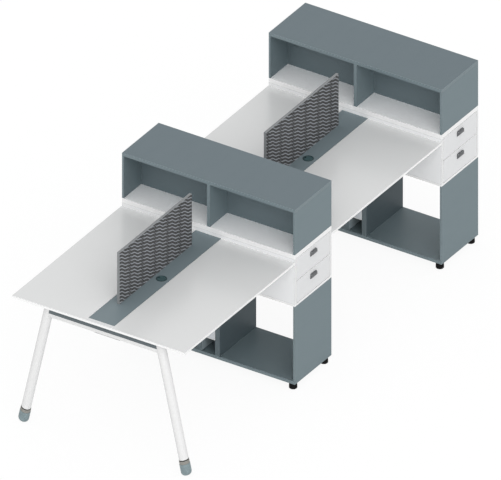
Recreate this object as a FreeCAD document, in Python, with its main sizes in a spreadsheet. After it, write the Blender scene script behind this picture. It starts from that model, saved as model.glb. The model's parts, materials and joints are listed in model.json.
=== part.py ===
import FreeCAD, Part
import os
import re
import Sketcher
from FreeCAD import Placement, Rotation, Vector

# A run of two back to back desk bays, each ending in a storage unit across its far end.
# Lengths are in millimetres. X runs across the desks, with the right hand user at +X.
# Y runs along the desks, away from the open leg frame, and Z is up.
# The origin is on the floor, under the middle of the whole run.

SIZES = [
    ("desk_width", 1200, "across both worktops and the raceway between them"),
    ("desk_run", 1200, "length of the worktops in one bay"),
    ("desk_height", 750, "floor to worktop surface"),
    ("top_thickness", 25, "worktops, raceway cover and end cap"),
    ("nose_inset", 28, "how far the underside of a free edge is cut back"),
    ("nose_drop", 13, "height of that slanted cut"),
    ("raceway_width", 180, "gap between the left and right worktops"),
    ("cover_gap", 1.5, "joint each side of the raceway cover"),
    ("end_cap_run", 32, "filler at the open end of the raceway"),
    ("cable_tray_depth", 90, "below the worktops"),
    ("sheet_wall", 1.5, "folded steel of the cable tray"),
    ("cable_tray_lip", 18, "each side of the tray wall, under worktop and cover"),
    ("rail_width", 40, "support rail, box section"),
    ("rail_height", 50, "support rail, box section"),
    ("rail_wall", 2, "support rail, box section"),
    ("rail_offset", 315, "middle of the desk to the centre of a rail"),
    ("screen_thickness", 20, "fabric covered privacy screen"),
    ("screen_run", 790, "length of the screen"),
    ("screen_rise", 300, "height of the screen above the cover"),
    ("screen_set_back", 255, "desk edge to the near end of the screen"),
    ("screen_shift", 24, "screen centre, left of the middle"),
    ("screen_stud_radius", 4, "stud that holds the screen on the cover"),
    ("screen_stud_head", 12, "radius of its head, under the cover"),
    ("screen_stud_head_height", 3, "thickness of that head"),
    ("screen_stud_depth", 24, "how far the stud runs up into the screen"),
    ("screen_stud_inset", 90, "screen end to the first stud"),
    ("fit_gap", 0.3, "clearance round a seated or sliding piece"),
    ("grommet_shift", 37, "grommet centre, right of the middle"),
    ("grommet_set_back", 631, "desk edge to the grommet centre"),
    ("grommet_hole_radius", 30, "hole in the raceway cover"),
    ("grommet_rim_radius", 33, "rim that lies on the cover"),
    ("grommet_rim_height", 2.5, "rim above the cover"),
    ("grommet_wall", 2.7, "barrel of the grommet"),
    ("grommet_ledge", 3, "ledge inside the barrel that carries the cap"),
    ("grommet_cap_thickness", 3, "turning cap"),
    ("cord_notch_width", 16, "notch in the cap where a cord comes up"),
    ("cord_notch_depth", 13, "from the rim of the cap inwards"),
    ("leg_radius", 29, "round leg tube"),
    ("leg_wall", 2, "round leg tube"),
    ("leg_floor_offset", 569, "middle to the leg axis at the floor"),
    ("leg_head_offset", 382, "middle to the leg axis under the worktop"),
    ("leg_set_back", 73, "desk edge to the plane of the leg axes"),
    ("foot_radius", 32.5, "rounded foot cap"),
    ("foot_rise", 60, "along the leg, from the floor point of its axis"),
    ("foot_round", 22, "rounding of the bottom of the foot cap"),
    ("collar_radius", 31, "ring between foot cap and tube"),
    ("collar_rise", 10, "ring between foot cap and tube"),
    ("collar_spigot", 25, "plug of the collar inside the tube"),
    ("crossbar_height", 37, "beam between the leg heads"),
    ("crossbar_depth", 50, "beam between the leg heads"),
    ("crossbar_wall", 2, "beam between the leg heads"),
    ("tie_height", 20, "bar under the crossbar"),
    ("tie_depth", 50, "bar under the crossbar"),
    ("tie_wall", 2, "bar under the crossbar"),
    ("storage_depth", 400, "storage unit, measured along the desks"),
    ("glide_height", 37, "floor to the underside of the cabinet"),
    ("glide_radius", 25, "foot of the levelling glide"),
    ("glide_neck_radius", 22, "top of the levelling glide"),
    ("glide_pad_height", 12, "straight rim of the glide"),
    ("glide_inset", 32, "cabinet corner to the glide axis, both ways"),
    ("glide_stud_radius", 5, "threaded stud of the glide"),
    ("glide_stud_rise", 14, "stud inside the base board"),
    ("board_thickness", 18, "plain boards"),
    ("end_thickness", 12, "end boards of the lower cabinet and the hutch"),
    ("partition_thickness", 32, "double board beside the cable chute"),
    ("chute_half_width", 46, "half the gap between the partitions"),
    ("riser_clear", 105, "open height under the riser panels"),
    ("cabinet_rise", 455, "lower cabinet without its glides"),
    ("case_floor_thickness", 12, "bottom board of the drawer case"),
    ("case_rise", 265, "clear height inside the drawer case"),
    ("case_top_thickness", 25, "top board of the drawer case"),
    ("hutch_rise", 264, "hutch, with its top board"),
    ("divider_thickness", 20, "upright in the middle of the hutch"),
    ("front_gap", 3, "joint above and below a drawer front"),
    ("front_side_gap", 2, "joint beside a drawer front"),
    ("drawer_run", 450, "length of a drawer tray"),
    ("drawer_side_gap", 13, "room for a runner beside the tray"),
    ("drawer_board", 12, "sides, back and inner front of the tray"),
    ("drawer_floor", 6, "bottom of the tray"),
    ("drawer_rise", 90, "height of the tray"),
    ("drawer_lift", 16, "front's lower edge to the underside of the tray"),
    ("drawer_travel", 340, "how far a drawer pulls out"),
    ("runner_height", 34, "channel on the case"),
    ("runner_reach", 10.5, "channel depth from the case board"),
    ("runner_wall", 1.5, "folded steel of runners and slides"),
    ("runner_lift", 25, "underside of the tray to the underside of the channel"),
    ("runner_set_back", 2, "channel's end behind the drawer front"),
    ("slide_height", 22, "strip on the tray's side"),
    ("slide_gap", 1, "free space between sliding strip and channel"),
    ("stop_run", 6, "stop lug on the strip and stop tab in the channel"),
    ("stop_rise", 9, "height of the stop lug"),
    ("handle_length", 64, "cup pull, along the front"),
    ("handle_height", 29, "cup pull, where it lies on the front"),
    ("handle_reach", 17, "how far it stands out"),
    ("handle_lip", 14, "height of its outer face"),
    ("handle_wall", 3, "thickness of its hood"),
    ("handle_round", 10, "outer rounding of its two corners"),
    ("handle_drop", 24, "front's upper edge to the top of the pull"),
]

ALIASES = {alias for alias, size, note in SIZES}
BAYS = ("near", "far")
SIDES = (("left", -1), ("right", 1))
LEVELS = ("lower", "upper")

doc = FreeCAD.newDocument("workstation")
sheet = doc.addObject("Spreadsheet::Sheet", "sizes")
for row, (alias, size, note) in enumerate(SIZES, start=1):
    sheet.set(f"A{row}", alias)
    sheet.set(f"B{row}", str(size))
    sheet.setAlias(f"B{row}", alias)
    sheet.set(f"C{row}", note)
doc.recompute()
kept = []


# Places that several pieces share, as formulas on the sheet.

PITCH = "(desk_run + storage_depth)"
HALF_WIDTH = "(desk_width / 2)"
FULL_WIDTH = (f"-{HALF_WIDTH}", HALF_WIDTH)
HALF_RACEWAY = "(raceway_width / 2)"
UNDER_TOP = "(desk_height - top_thickness)"
CABINET_LOW = "glide_height"
CABINET_HIGH = "(glide_height + cabinet_rise)"
NICHE_LOW = "(glide_height + board_thickness)"
CASE_LOW = "(glide_height + cabinet_rise + case_floor_thickness)"
CASE_HIGH = f"({CASE_LOW} + case_rise)"
HUTCH_LOW = f"({CASE_HIGH} + case_top_thickness)"
HUTCH_HIGH = f"({HUTCH_LOW} + hutch_rise)"
HUTCH_TOP_LOW = f"({HUTCH_HIGH} - board_thickness)"
PARTITION_OUT = "(chute_half_width + partition_thickness)"
FRONT_BACK = f"({HALF_WIDTH} - board_thickness)"
TRAY_BACK = f"({FRONT_BACK} - drawer_run)"
FRONT_RISE = "((case_rise - 3 * front_gap) / 2)"
LEG_SPLAY = f"atan((leg_floor_offset - leg_head_offset) / {UNDER_TOP})"
LEG_PLANE = f"(-{PITCH} + leg_set_back)"


def desk_start(bay):
    """The Y at which a bay's worktops start: the bays lie evenly about the origin."""
    return f"(({BAYS.index(bay)} - {len(BAYS)} / 2) * {PITCH})"


def unit_start(bay):
    """The Y at which the bay's storage unit starts, right behind its worktops."""
    return f"({desk_start(bay)} + desk_run)"


def on_side(side, inner, outer):
    """A stretch between two distances from the middle plane, on the left or the right."""
    return (inner, outer) if side > 0 else (f"-({outer})", f"-({inner})")


def centred(middle, run):
    """A stretch of that run about a middle."""
    return (f"{middle} - ({run}) / 2", f"{middle} + ({run}) / 2")


# Helpers that bind document objects to the sheet.

def formula(text):
    """The same formula, with each of the sheet's aliases named in full."""
    return re.sub(r"[a-z_]+", lambda word: f"sizes.{word[0]}" if word[0] in ALIASES else word[0], text)


def number(text):
    """What a formula comes to now."""
    return float(sheet.evalExpression(formula(text)))


def bind(item, **formulas):
    """Tie properties of an object to formulas."""
    for name, text in formulas.items():
        item.setExpression(name, formula(text))


def seat(item, x, y, z):
    """Tie the place of an object to formulas."""
    for axis, text in (("x", x), ("y", y), ("z", z)):
        item.setExpression(f"Placement.Base.{axis}", formula(text))
    return item


def keep(item):
    """Mark an object as one of the finished pieces."""
    kept.append(item)
    return item


def board(name, x, y, z):
    """A squared board between two ends along each axis."""
    box = doc.addObject("Part::Box", name)
    bind(box, Length=f"({x[1]}) - ({x[0]})", Width=f"({y[1]}) - ({y[0]})", Height=f"({z[1]}) - ({z[0]})")
    return seat(box, x[0], y[0], z[0])


def drum(name, radius, x, y, z):
    """An upright cylinder between two heights."""
    cylinder = doc.addObject("Part::Cylinder", name)
    bind(cylinder, Radius=radius, Height=f"({z[1]}) - ({z[0]})")
    return seat(cylinder, x, y, z[0])


def leg_drum(name, side, radius, start, end):
    """A cylinder on a leg's axis, between two distances from the floor point of that axis."""
    cylinder = doc.addObject("Part::Cylinder", name)
    bind(cylinder, Radius=radius, Height=f"({end}) - ({start})")
    return lean(cylinder, side, start)


def lean(item, side, start):
    """Stand an object on a leg's axis, that far from the floor, leaning with the leg."""
    item.Placement = Placement(Vector(), Rotation(Vector(0, -side, 0), 1))
    item.setExpression("Placement.Rotation.Angle", formula(LEG_SPLAY))
    x = f"{side} * (leg_floor_offset - ({start}) * sin({LEG_SPLAY}))"
    return seat(item, x, LEG_PLANE, f"({start}) * cos({LEG_SPLAY})")


def group(name, members):
    """Separate solids of one kind that share a node."""
    compound = doc.addObject("Part::Compound", name)
    compound.Links = members
    return compound


def fused(name, members):
    """One solid from several that meet."""
    fusion = doc.addObject("Part::MultiFuse", name)
    fusion.Shapes = members
    fusion.Refine = True
    return fusion


def cut(name, base, tools):
    """A solid with one or more others taken out of it."""
    result = doc.addObject("Part::Cut", name)
    result.Base = base
    result.Tool = tools[0] if len(tools) == 1 else fused(f"{name}_tools", tools)
    return result


def hold(sketch, constraint, text):
    """Add a sized constraint and tie it to a formula."""
    place = sketch.addConstraint(constraint)
    sketch.setExpression(f"Constraints[{place}]", formula(text))


def pin(sketch, piece, point, x, y):
    """Fix a point of a sketch by its two distances from the origin."""
    for kind, text in (("DistanceX", x), ("DistanceY", y)):
        hold(sketch, Sketcher.Constraint(kind, -1, 1, piece, point, number(text)), text)


def outline(body, plane, corners, holes=()):
    """A closed outline through its corners, with round holes, on a plane of the body."""
    sketch = body.newObject("Sketcher::SketchObject", f"{body.Name}_outline")
    origin = body.Origin.OriginFeatures
    sketch.AttachmentSupport = (next(item for item in origin if item.Role == plane), [""])
    sketch.MapMode = "FlatFace"
    points = [Vector(number(x), number(y), 0) for x, y in corners]
    for start, end in zip(points, points[1:] + points[:1]):
        sketch.addGeometry(Part.LineSegment(start, end), False)
    for index in range(len(points)):
        following = (index + 1) % len(points)
        sketch.addConstraint(Sketcher.Constraint("Coincident", index, 2, following, 1))
    for index, (x, y) in enumerate(corners):
        pin(sketch, index, 1, x, y)
    for x, y, radius in holes:
        circle = Part.Circle(Vector(number(x), number(y), 0), Vector(0, 0, 1), number(radius))
        index = sketch.addGeometry(circle, False)
        pin(sketch, index, 3, x, y)
        hold(sketch, Sketcher.Constraint("Radius", index, number(radius)), radius)
    return sketch


def rectangle(x, y):
    """The four corners between two ends each way."""
    return [(x[0], y[0]), (x[1], y[0]), (x[1], y[1]), (x[0], y[1])]


def pad(body, sketch, length, backwards=False):
    """Raise a sketch into a solid."""
    feature = body.newObject("PartDesign::Pad", f"{body.Name}_pad")
    feature.Profile = sketch
    feature.Reversed = backwards
    bind(feature, Length=length)
    return feature


def pocket(body, sketch, length):
    """Cut a sketch through the body, that far to both sides of its plane."""
    before = body.Shape.Volume
    feature = body.newObject("PartDesign::Pocket", f"{body.Name}_pocket")
    feature.Profile = sketch
    feature.Midplane = True
    bind(feature, Length=f"2 * ({length})")
    doc.recompute()
    if not body.Shape.Volume < before:
        raise ValueError(f"{feature.Name} cuts nothing")
    return feature


def turned(name, profile):
    """A body turned about its own upright axis from a half section of radii and heights."""
    body = doc.addObject("PartDesign::Body", name)
    sketch = outline(body, "XZ_Plane", profile)
    feature = body.newObject("PartDesign::Revolution", f"{name}_turn")
    feature.Profile = sketch
    upright = next(item for item in body.Origin.OriginFeatures if item.Role == "Z_Axis")
    feature.ReferenceAxis = (upright, [""])
    feature.Angle = 360
    return body


def rounded(body, name, radius, wanted):
    """Round those edges of the body that the test picks."""
    doc.recompute()
    base = body.Tip
    names = [f"Edge{index}" for index, edge in enumerate(base.Shape.Edges, start=1) if wanted(edge)]
    feature = body.newObject("PartDesign::Fillet", name)
    feature.Base = (base, names)
    bind(feature, Radius=radius)
    return feature


def upright_at(corners):
    """A test that picks the upright edges over some corners of an outline."""
    places = [(number(x), number(y)) for x, y in corners]
    near = number("fit_gap")

    def wanted(edge):
        box = edge.BoundBox
        upright = box.ZLength > max(box.XLength, box.YLength)
        return upright and any(abs(box.Center.x - x) < near and abs(box.Center.y - y) < near for x, y in places)

    return wanted


# The worktops and what lies between and under them.

def worktop(bay, side_name, side):
    """One user's worktop, with its underside cut back along the free edges."""
    body = doc.addObject("PartDesign::Body", f"{bay}_worktop_{side_name}")
    breadth = f"({HALF_WIDTH} - {HALF_RACEWAY})"
    section = [
        ("0", "0"),
        (f"{side} * ({breadth} - nose_inset)", "0"),
        (f"{side} * {breadth}", "nose_drop"),
        (f"{side} * {breadth}", "top_thickness"),
        ("0", "top_thickness"),
    ]
    pad(body, outline(body, "XZ_Plane", section), "desk_run", backwards=True)
    if bay == BAYS[0]:
        doc.recompute()
        nose = [("0", "0"), ("nose_inset", "0"), ("0", "nose_drop")]
        pocket(body, outline(body, "YZ_Plane", nose), breadth)
    keep(seat(body, f"{side} * {HALF_RACEWAY}", desk_start(bay), UNDER_TOP))


def stud_places(bay):
    """The Y of each stud under a screen: one near each end and one in the middle."""
    first = f"{desk_start(bay)} + screen_set_back + screen_stud_inset"
    shares = (0, 1 / 2, 1)
    return [f"({first} + {share} * (screen_run - 2 * screen_stud_inset))" for share in shares]


def raceway_cover(bay):
    """The cover between the worktops, with holes for the grommet and the screen's studs."""
    body = doc.addObject("PartDesign::Body", f"{bay}_raceway_cover")
    half = f"({HALF_RACEWAY} - cover_gap)"
    start = f"({desk_start(bay)} + end_cap_run)" if bay == BAYS[0] else desk_start(bay)
    holes = [("grommet_shift", f"{desk_start(bay)} + grommet_set_back", "grommet_hole_radius")]
    holes += [("-screen_shift", place, "screen_stud_radius + fit_gap") for place in stud_places(bay)]
    ends = (start, f"{desk_start(bay)} + desk_run")
    pad(body, outline(body, "XY_Plane", rectangle((f"-{half}", half), ends), holes), "top_thickness")
    keep(seat(body, "0", "0", UNDER_TOP))


def raceway_end_cap():
    """The filler in front of the near cover, with the same cut back edge as the worktops."""
    body = doc.addObject("PartDesign::Body", "raceway_end_cap")
    section = [
        ("nose_inset", "0"),
        ("end_cap_run", "0"),
        ("end_cap_run", "top_thickness"),
        ("0", "top_thickness"),
        ("0", "nose_drop"),
    ]
    pad(body, outline(body, "YZ_Plane", section), "raceway_width")
    keep(seat(body, f"-{HALF_RACEWAY}", desk_start(BAYS[0]), UNDER_TOP))


def tray_ends(bay):
    """Trays and rails run from the leg crossbar, or the unit in front, to the unit behind."""
    start = f"({LEG_PLANE} + crossbar_depth / 2)" if bay == BAYS[0] else desk_start(bay)
    return (start, f"({desk_start(bay)} + desk_run)")


def cable_tray(bay):
    """A folded trough whose lips lie under the worktops and the cover."""
    body = doc.addObject("PartDesign::Body", f"{bay}_cable_tray")
    start, end = tray_ends(bay)
    wall_out = HALF_RACEWAY
    wall_in = f"({HALF_RACEWAY} - sheet_wall)"
    lip_out = f"({HALF_RACEWAY} + cable_tray_lip)"
    lip_in = f"({HALF_RACEWAY} - cable_tray_lip)"
    right = [
        (wall_out, "-cable_tray_depth"),
        (wall_out, "-sheet_wall"),
        (lip_out, "-sheet_wall"),
        (lip_out, "0"),
        (lip_in, "0"),
        (lip_in, "-sheet_wall"),
        (wall_in, "-sheet_wall"),
        (wall_in, "-cable_tray_depth + sheet_wall"),
    ]
    left = [(f"-{x}", z) for x, z in reversed(right)]
    pad(body, outline(body, "XZ_Plane", right + left), f"{end} - {start}", backwards=True)
    return seat(body, "0", start, UNDER_TOP)


def box_tube(name, x, y, z, wall, axis):
    """A box section tube, open at both ends along its axis."""
    bore = [(f"{low} + {wall}", f"{high} - {wall}") for low, high in (x, y, z)]
    bore[axis] = (x, y, z)[axis]
    return cut(name, board(f"{name}_skin", x, y, z), [board(f"{name}_bore", *bore)])


def support_rail(bay, side_name, side):
    """A box section rail under one worktop."""
    across = centred(f"{side} * rail_offset", "rail_width")
    height = (f"{UNDER_TOP} - rail_height", UNDER_TOP)
    return box_tube(f"{bay}_{side_name}_rail", across, tray_ends(bay), height, "rail_wall", axis=1)


def screen_panel(bay):
    """The privacy screen, bored from below for its studs."""
    across = centred("-screen_shift", "screen_thickness")
    start = f"({desk_start(bay)} + screen_set_back)"
    bore = ("desk_height", "desk_height + screen_stud_depth + fit_gap")
    slab = board(f"{bay}_screen_slab", across, (start, f"{start} + screen_run"),
                 ("desk_height", "desk_height + screen_rise"))
    bores = [drum(f"{bay}_screen_bore_{index}", "screen_stud_radius + fit_gap", "-screen_shift", place, bore)
             for index, place in enumerate(stud_places(bay))]
    keep(cut(f"{bay}_screen_panel", slab, bores))


def screen_stud(bay, index, place):
    """A headed stud up through the cover into the screen."""
    name = f"{bay}_screen_stud_{index}"
    shank = drum(f"{name}_shank", "screen_stud_radius", "-screen_shift", place,
                 (UNDER_TOP, "desk_height + screen_stud_depth"))
    head = drum(f"{name}_head", "screen_stud_head", "-screen_shift", place,
                (f"{UNDER_TOP} - screen_stud_head_height", UNDER_TOP))
    return fused(name, [shank, head])


def grommet_ring(bay):
    """The grommet's barrel through the cover, with its rim on top and a ledge for the cap."""
    barrel_out = "(grommet_hole_radius - fit_gap)"
    barrel_in = f"({barrel_out} - grommet_wall)"
    ledge_in = f"({barrel_in} - grommet_ledge)"
    ledge_top = "(grommet_rim_height - grommet_cap_thickness - fit_gap)"
    profile = [
        (barrel_in, "-top_thickness"),
        (barrel_out, "-top_thickness"),
        (barrel_out, "0"),
        ("grommet_rim_radius", "0"),
        ("grommet_rim_radius", "grommet_rim_height / 2"),
        ("grommet_rim_radius - grommet_rim_height / 2", "grommet_rim_height"),
        (barrel_in, "grommet_rim_height"),
        (barrel_in, ledge_top),
        (ledge_in, ledge_top),
        (ledge_in, f"{ledge_top} - grommet_ledge"),
        (barrel_in, f"{ledge_top} - grommet_ledge"),
    ]
    ring = turned(f"{bay}_grommet_ring", profile)
    return seat(ring, "grommet_shift", f"{desk_start(bay)} + grommet_set_back", "desk_height")


def grommet_cap(bay):
    """The round cap that turns in the grommet, with a notch for a cord in its rim."""
    radius = "(grommet_hole_radius - grommet_wall - 2 * fit_gap)"
    y = f"{desk_start(bay)} + grommet_set_back"
    top = "desk_height + grommet_rim_height"
    height = (f"{top} - grommet_cap_thickness", top)
    disc = drum(f"{bay}_grommet_disc", radius, "grommet_shift", y, height)
    reach = f"({radius} - cord_notch_depth + cord_notch_width / 2)"
    mouth = (f"grommet_shift - {radius} - cord_notch_width", f"grommet_shift - {reach}")
    slot = board(f"{bay}_notch_slot", mouth, centred(y, "cord_notch_width"), height)
    end = drum(f"{bay}_notch_end", "cord_notch_width / 2", f"grommet_shift - {reach}", y, height)
    keep(cut(f"{bay}_grommet_cap", disc, [slot, end]))


def desk_bay(bay):
    """All of one bay that lies in front of its storage unit."""
    for side_name, side in SIDES:
        worktop(bay, side_name, side)
    raceway_cover(bay)
    screen_panel(bay)
    grommet_cap(bay)


for bay in BAYS:
    desk_bay(bay)
raceway_end_cap()
keep(group("cable_trays", [cable_tray(bay) for bay in BAYS]))
keep(group("support_rails", [support_rail(bay, *side) for bay in BAYS for side in SIDES]))
keep(group("screen_studs", [screen_stud(bay, index, place)
                            for bay in BAYS for index, place in enumerate(stud_places(bay))]))
keep(group("grommet_rings", [grommet_ring(bay) for bay in BAYS]))


# The open leg frame at the near end.

LEG_LENGTH = f"({UNDER_TOP} / cos({LEG_SPLAY}))"
TUBE_START = "(foot_rise + collar_rise)"
TUBE_BORE = "(leg_radius - leg_wall)"
CROSSBAR_LOW = f"({UNDER_TOP} - crossbar_height)"


def leg_tube(side_name, side):
    """A splayed round tube, cut level under the worktop."""
    name = f"{side_name}_leg_tube"
    beyond = f"{LEG_LENGTH} + leg_radius"
    skin = leg_drum(f"{name}_skin", side, "leg_radius", TUBE_START, beyond)
    bore = leg_drum(f"{name}_bore", side, TUBE_BORE, TUBE_START, beyond)
    across = on_side(side, "0", "leg_floor_offset")
    level = board(f"{name}_level", across, centred(LEG_PLANE, "4 * leg_radius"),
                  (UNDER_TOP, f"{UNDER_TOP} + 2 * leg_radius"))
    return cut(name, skin, [bore, level])


def leg_collar(side_name, side):
    """The ring that shows above the foot, with a plug up inside the tube."""
    name = f"{side_name}_leg_collar"
    ring = leg_drum(f"{name}_ring", side, "collar_radius", "foot_rise", TUBE_START)
    plug = leg_drum(f"{name}_plug", side, f"{TUBE_BORE} - fit_gap", TUBE_START, f"{TUBE_START} + collar_spigot")
    return fused(name, [ring, plug])


def leg_foot(side_name, side):
    """The rounded foot cap in line with the leg, flat where it meets the floor."""
    name = f"{side_name}_leg_foot"
    cap = turned(f"{name}_cap", rectangle(("0", "foot_radius"), ("0", "foot_rise")))
    rounded(cap, f"{name}_round", "foot_round", lambda edge: edge.BoundBox.ZMax < number("foot_round"))
    lean(cap, side, "0")
    across = on_side(side, "0", "leg_floor_offset + 2 * foot_radius")
    below = board(f"{name}_below", across, centred(LEG_PLANE, "4 * foot_radius"), ("-foot_radius", "0"))
    return cut(name, cap, [below])


def coped(name, bar):
    """A bar whose ends are shaped round the leg tubes."""
    end = f"{LEG_LENGTH} + leg_radius"
    saddles = [leg_drum(f"{name}_{side_name}_saddle", side, "leg_radius + fit_gap", "0", end)
               for side_name, side in SIDES]
    return cut(name, bar, saddles)


def crosswise_tube(name, height, depth, wall):
    """A box section bar from leg axis to leg axis, coped round both tubes."""
    across = ("-leg_head_offset", "leg_head_offset")
    tube = box_tube(f"{name}_tube", across, centred(LEG_PLANE, depth), height, wall, axis=0)
    keep(coped(name, tube))


keep(group("leg_tubes", [leg_tube(*side) for side in SIDES]))
keep(group("leg_collars", [leg_collar(*side) for side in SIDES]))
keep(group("leg_feet", [leg_foot(*side) for side in SIDES]))
crosswise_tube("leg_crossbar", (CROSSBAR_LOW, UNDER_TOP), "crossbar_depth", "crossbar_wall")
crosswise_tube("leg_tie", (f"{CROSSBAR_LOW} - tie_height", CROSSBAR_LOW), "tie_depth", "tie_wall")


# The storage units: lower cabinet, drawer case and hutch.

def in_unit(bay, near, far):
    """A stretch along Y between two distances behind the front of the unit."""
    start = unit_start(bay)
    return (f"{start} + {near}", f"{start} + {far}")


def both_sides(name, inner, outer, y, z):
    """The same board on the left and on the right."""
    return [board(f"{name}_{side_name}", on_side(side, inner, outer), y, z) for side_name, side in SIDES]


def both_faces(name, bay, x, z):
    """The same board along the front and along the rear of the unit."""
    near = board(f"{name}_near", x, in_unit(bay, "0", "board_thickness"), z)
    far = board(f"{name}_far", x, in_unit(bay, "storage_depth - board_thickness", "storage_depth"), z)
    return [near, far]


def glide_places(bay):
    """The X and Y of the four glides of a unit."""
    inset = f"({HALF_WIDTH} - glide_inset)"
    depths = in_unit(bay, "glide_inset", "storage_depth - glide_inset")
    return [(f"{side} * {inset}", f"({y})") for side_name, side in SIDES for y in depths]


def base_board(bay):
    """The bottom of the lower cabinet, bored for the studs of the glides."""
    body = doc.addObject("PartDesign::Body", f"{bay}_base_board")
    half = f"({HALF_WIDTH} - end_thickness)"
    corners = rectangle((f"-{half}", half), in_unit(bay, "0", "storage_depth"))
    holes = [(x, y, "glide_stud_radius + fit_gap") for x, y in glide_places(bay)]
    pad(body, outline(body, "XY_Plane", corners, holes), "board_thickness")
    return seat(body, "0", "0", CABINET_LOW)


def glide(bay, index, x, y):
    """A levelling glide with its stud up in the base board."""
    profile = [
        ("0", "0"),
        ("glide_radius", "0"),
        ("glide_radius", "glide_pad_height"),
        ("glide_neck_radius", "glide_height"),
        ("glide_stud_radius", "glide_height"),
        ("glide_stud_radius", "glide_height + glide_stud_rise"),
        ("0", "glide_height + glide_stud_rise"),
    ]
    return seat(turned(f"{bay}_glide_{index}", profile), x, y, "0")


def riser_panels(bay):
    """The panels that close the cable chute in front and behind, open at the foot."""
    across = ("-chute_half_width", "chute_half_width")
    return both_faces(f"{bay}_riser", bay, across, (f"{CABINET_LOW} + riser_clear", CABINET_HIGH))


def whole_depth(bay):
    """From the front to the rear of a unit."""
    return in_unit(bay, "0", "storage_depth")


def case_sides(bay):
    """The two long boards between which the drawers run."""
    return both_faces(f"{bay}_case_side", bay, FULL_WIDTH, (CASE_LOW, CASE_HIGH))


def hutch_sides(bay):
    """The end boards of the hutch and its divider, all under the top board."""
    height = (HUTCH_LOW, HUTCH_TOP_LOW)
    ends = both_sides(f"{bay}_hutch_end", f"{HALF_WIDTH} - end_thickness", HALF_WIDTH, whole_depth(bay), height)
    divider = board(f"{bay}_hutch_divider", centred("0", "divider_thickness"), whole_depth(bay), height)
    return group(f"{bay}_hutch_sides", ends + [divider])


def hutch_backs(bay):
    """The two panels in the middle of the hutch's depth, so that it is open to both desks."""
    depth = in_unit(bay, "(storage_depth - board_thickness) / 2", "(storage_depth + board_thickness) / 2")
    return both_sides(f"{bay}_hutch_back", "divider_thickness / 2", f"{HALF_WIDTH} - end_thickness",
                      depth, (HUTCH_LOW, HUTCH_TOP_LOW))


for bay in BAYS:
    keep(board(f"{bay}_hutch_top", FULL_WIDTH, whole_depth(bay), (HUTCH_TOP_LOW, HUTCH_HIGH)))
    keep(hutch_sides(bay))
    keep(board(f"{bay}_case_top", FULL_WIDTH, whole_depth(bay), (CASE_HIGH, HUTCH_LOW)))
keep(group("case_sides", [side for bay in BAYS for side in case_sides(bay)]))
keep(group("case_floors", [board(f"{bay}_case_floor", FULL_WIDTH, whole_depth(bay), (CABINET_HIGH, CASE_LOW))
                           for bay in BAYS]))
keep(group("hutch_back_panels", [panel for bay in BAYS for panel in hutch_backs(bay)]))
keep(group("case_dividers", [
    board(f"{bay}_case_divider", centred("0", "board_thickness"),
          in_unit(bay, "board_thickness", "storage_depth - board_thickness"), (CASE_LOW, CASE_HIGH))
    for bay in BAYS]))
keep(group("cabinet_ends", [
    end for bay in BAYS
    for end in both_sides(f"{bay}_cabinet_end", f"{HALF_WIDTH} - end_thickness", HALF_WIDTH,
                          whole_depth(bay), (CABINET_LOW, CABINET_HIGH))]))
keep(group("cabinet_partitions", [
    side for bay in BAYS
    for side in both_sides(f"{bay}_partition", "chute_half_width", PARTITION_OUT,
                           whole_depth(bay), (NICHE_LOW, CABINET_HIGH))]))
keep(group("cabinet_bases", [base_board(bay) for bay in BAYS]))
keep(group("riser_panels", [panel for bay in BAYS for panel in riser_panels(bay)]))
keep(group("levelling_glides", [glide(bay, index, x, y)
                                for bay in BAYS for index, (x, y) in enumerate(glide_places(bay))]))


# The drawers, two at each end of each unit, and their runners.

FACES = (("near", 1), ("far", -1))


def front_low(level):
    """The lower edge of a drawer front."""
    return f"({CASE_LOW} + front_gap + {LEVELS.index(level)} * ({FRONT_RISE} + front_gap))"


def tray_low(level):
    """The underside of a drawer tray."""
    return f"({front_low(level)} + drawer_lift)"


def runner_low(level):
    """The underside of a runner's channel."""
    return f"({tray_low(level)} + runner_lift)"


def beside(bay, facing, near, far):
    """A stretch measured inwards from the inner face of one of the unit's long boards."""
    if facing > 0:
        return in_unit(bay, f"(board_thickness + {near})", f"(board_thickness + {far})")
    inner_face = "storage_depth - board_thickness"
    return in_unit(bay, f"({inner_face} - {far})", f"({inner_face} - {near})")


def runner(bay, side_name, side, level, face_name, facing):
    """The channel on the case board, with a pressed in tab that stops the drawer."""
    name = f"{bay}_{side_name}_{level}_{face_name}_runner"
    low = runner_low(level)
    high = f"({low} + runner_height)"
    length = on_side(side, TRAY_BACK, f"{FRONT_BACK} - runner_set_back")
    lip = beside(bay, facing, "0", "runner_reach")
    tab_start = f"({TRAY_BACK} + stop_run + drawer_travel + fit_gap)"
    tab_low = f"({low} + 2 * runner_wall + fit_gap + slide_gap)"
    return fused(name, [
        board(f"{name}_web", length, beside(bay, facing, "0", "runner_wall"), (low, high)),
        board(f"{name}_sill", length, lip, (low, f"{low} + runner_wall")),
        board(f"{name}_head", length, lip, (f"{high} - runner_wall", high)),
        board(f"{name}_tab", on_side(side, tab_start, f"{tab_start} + stop_run / 2"), lip, (tab_low, high)),
    ])


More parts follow.
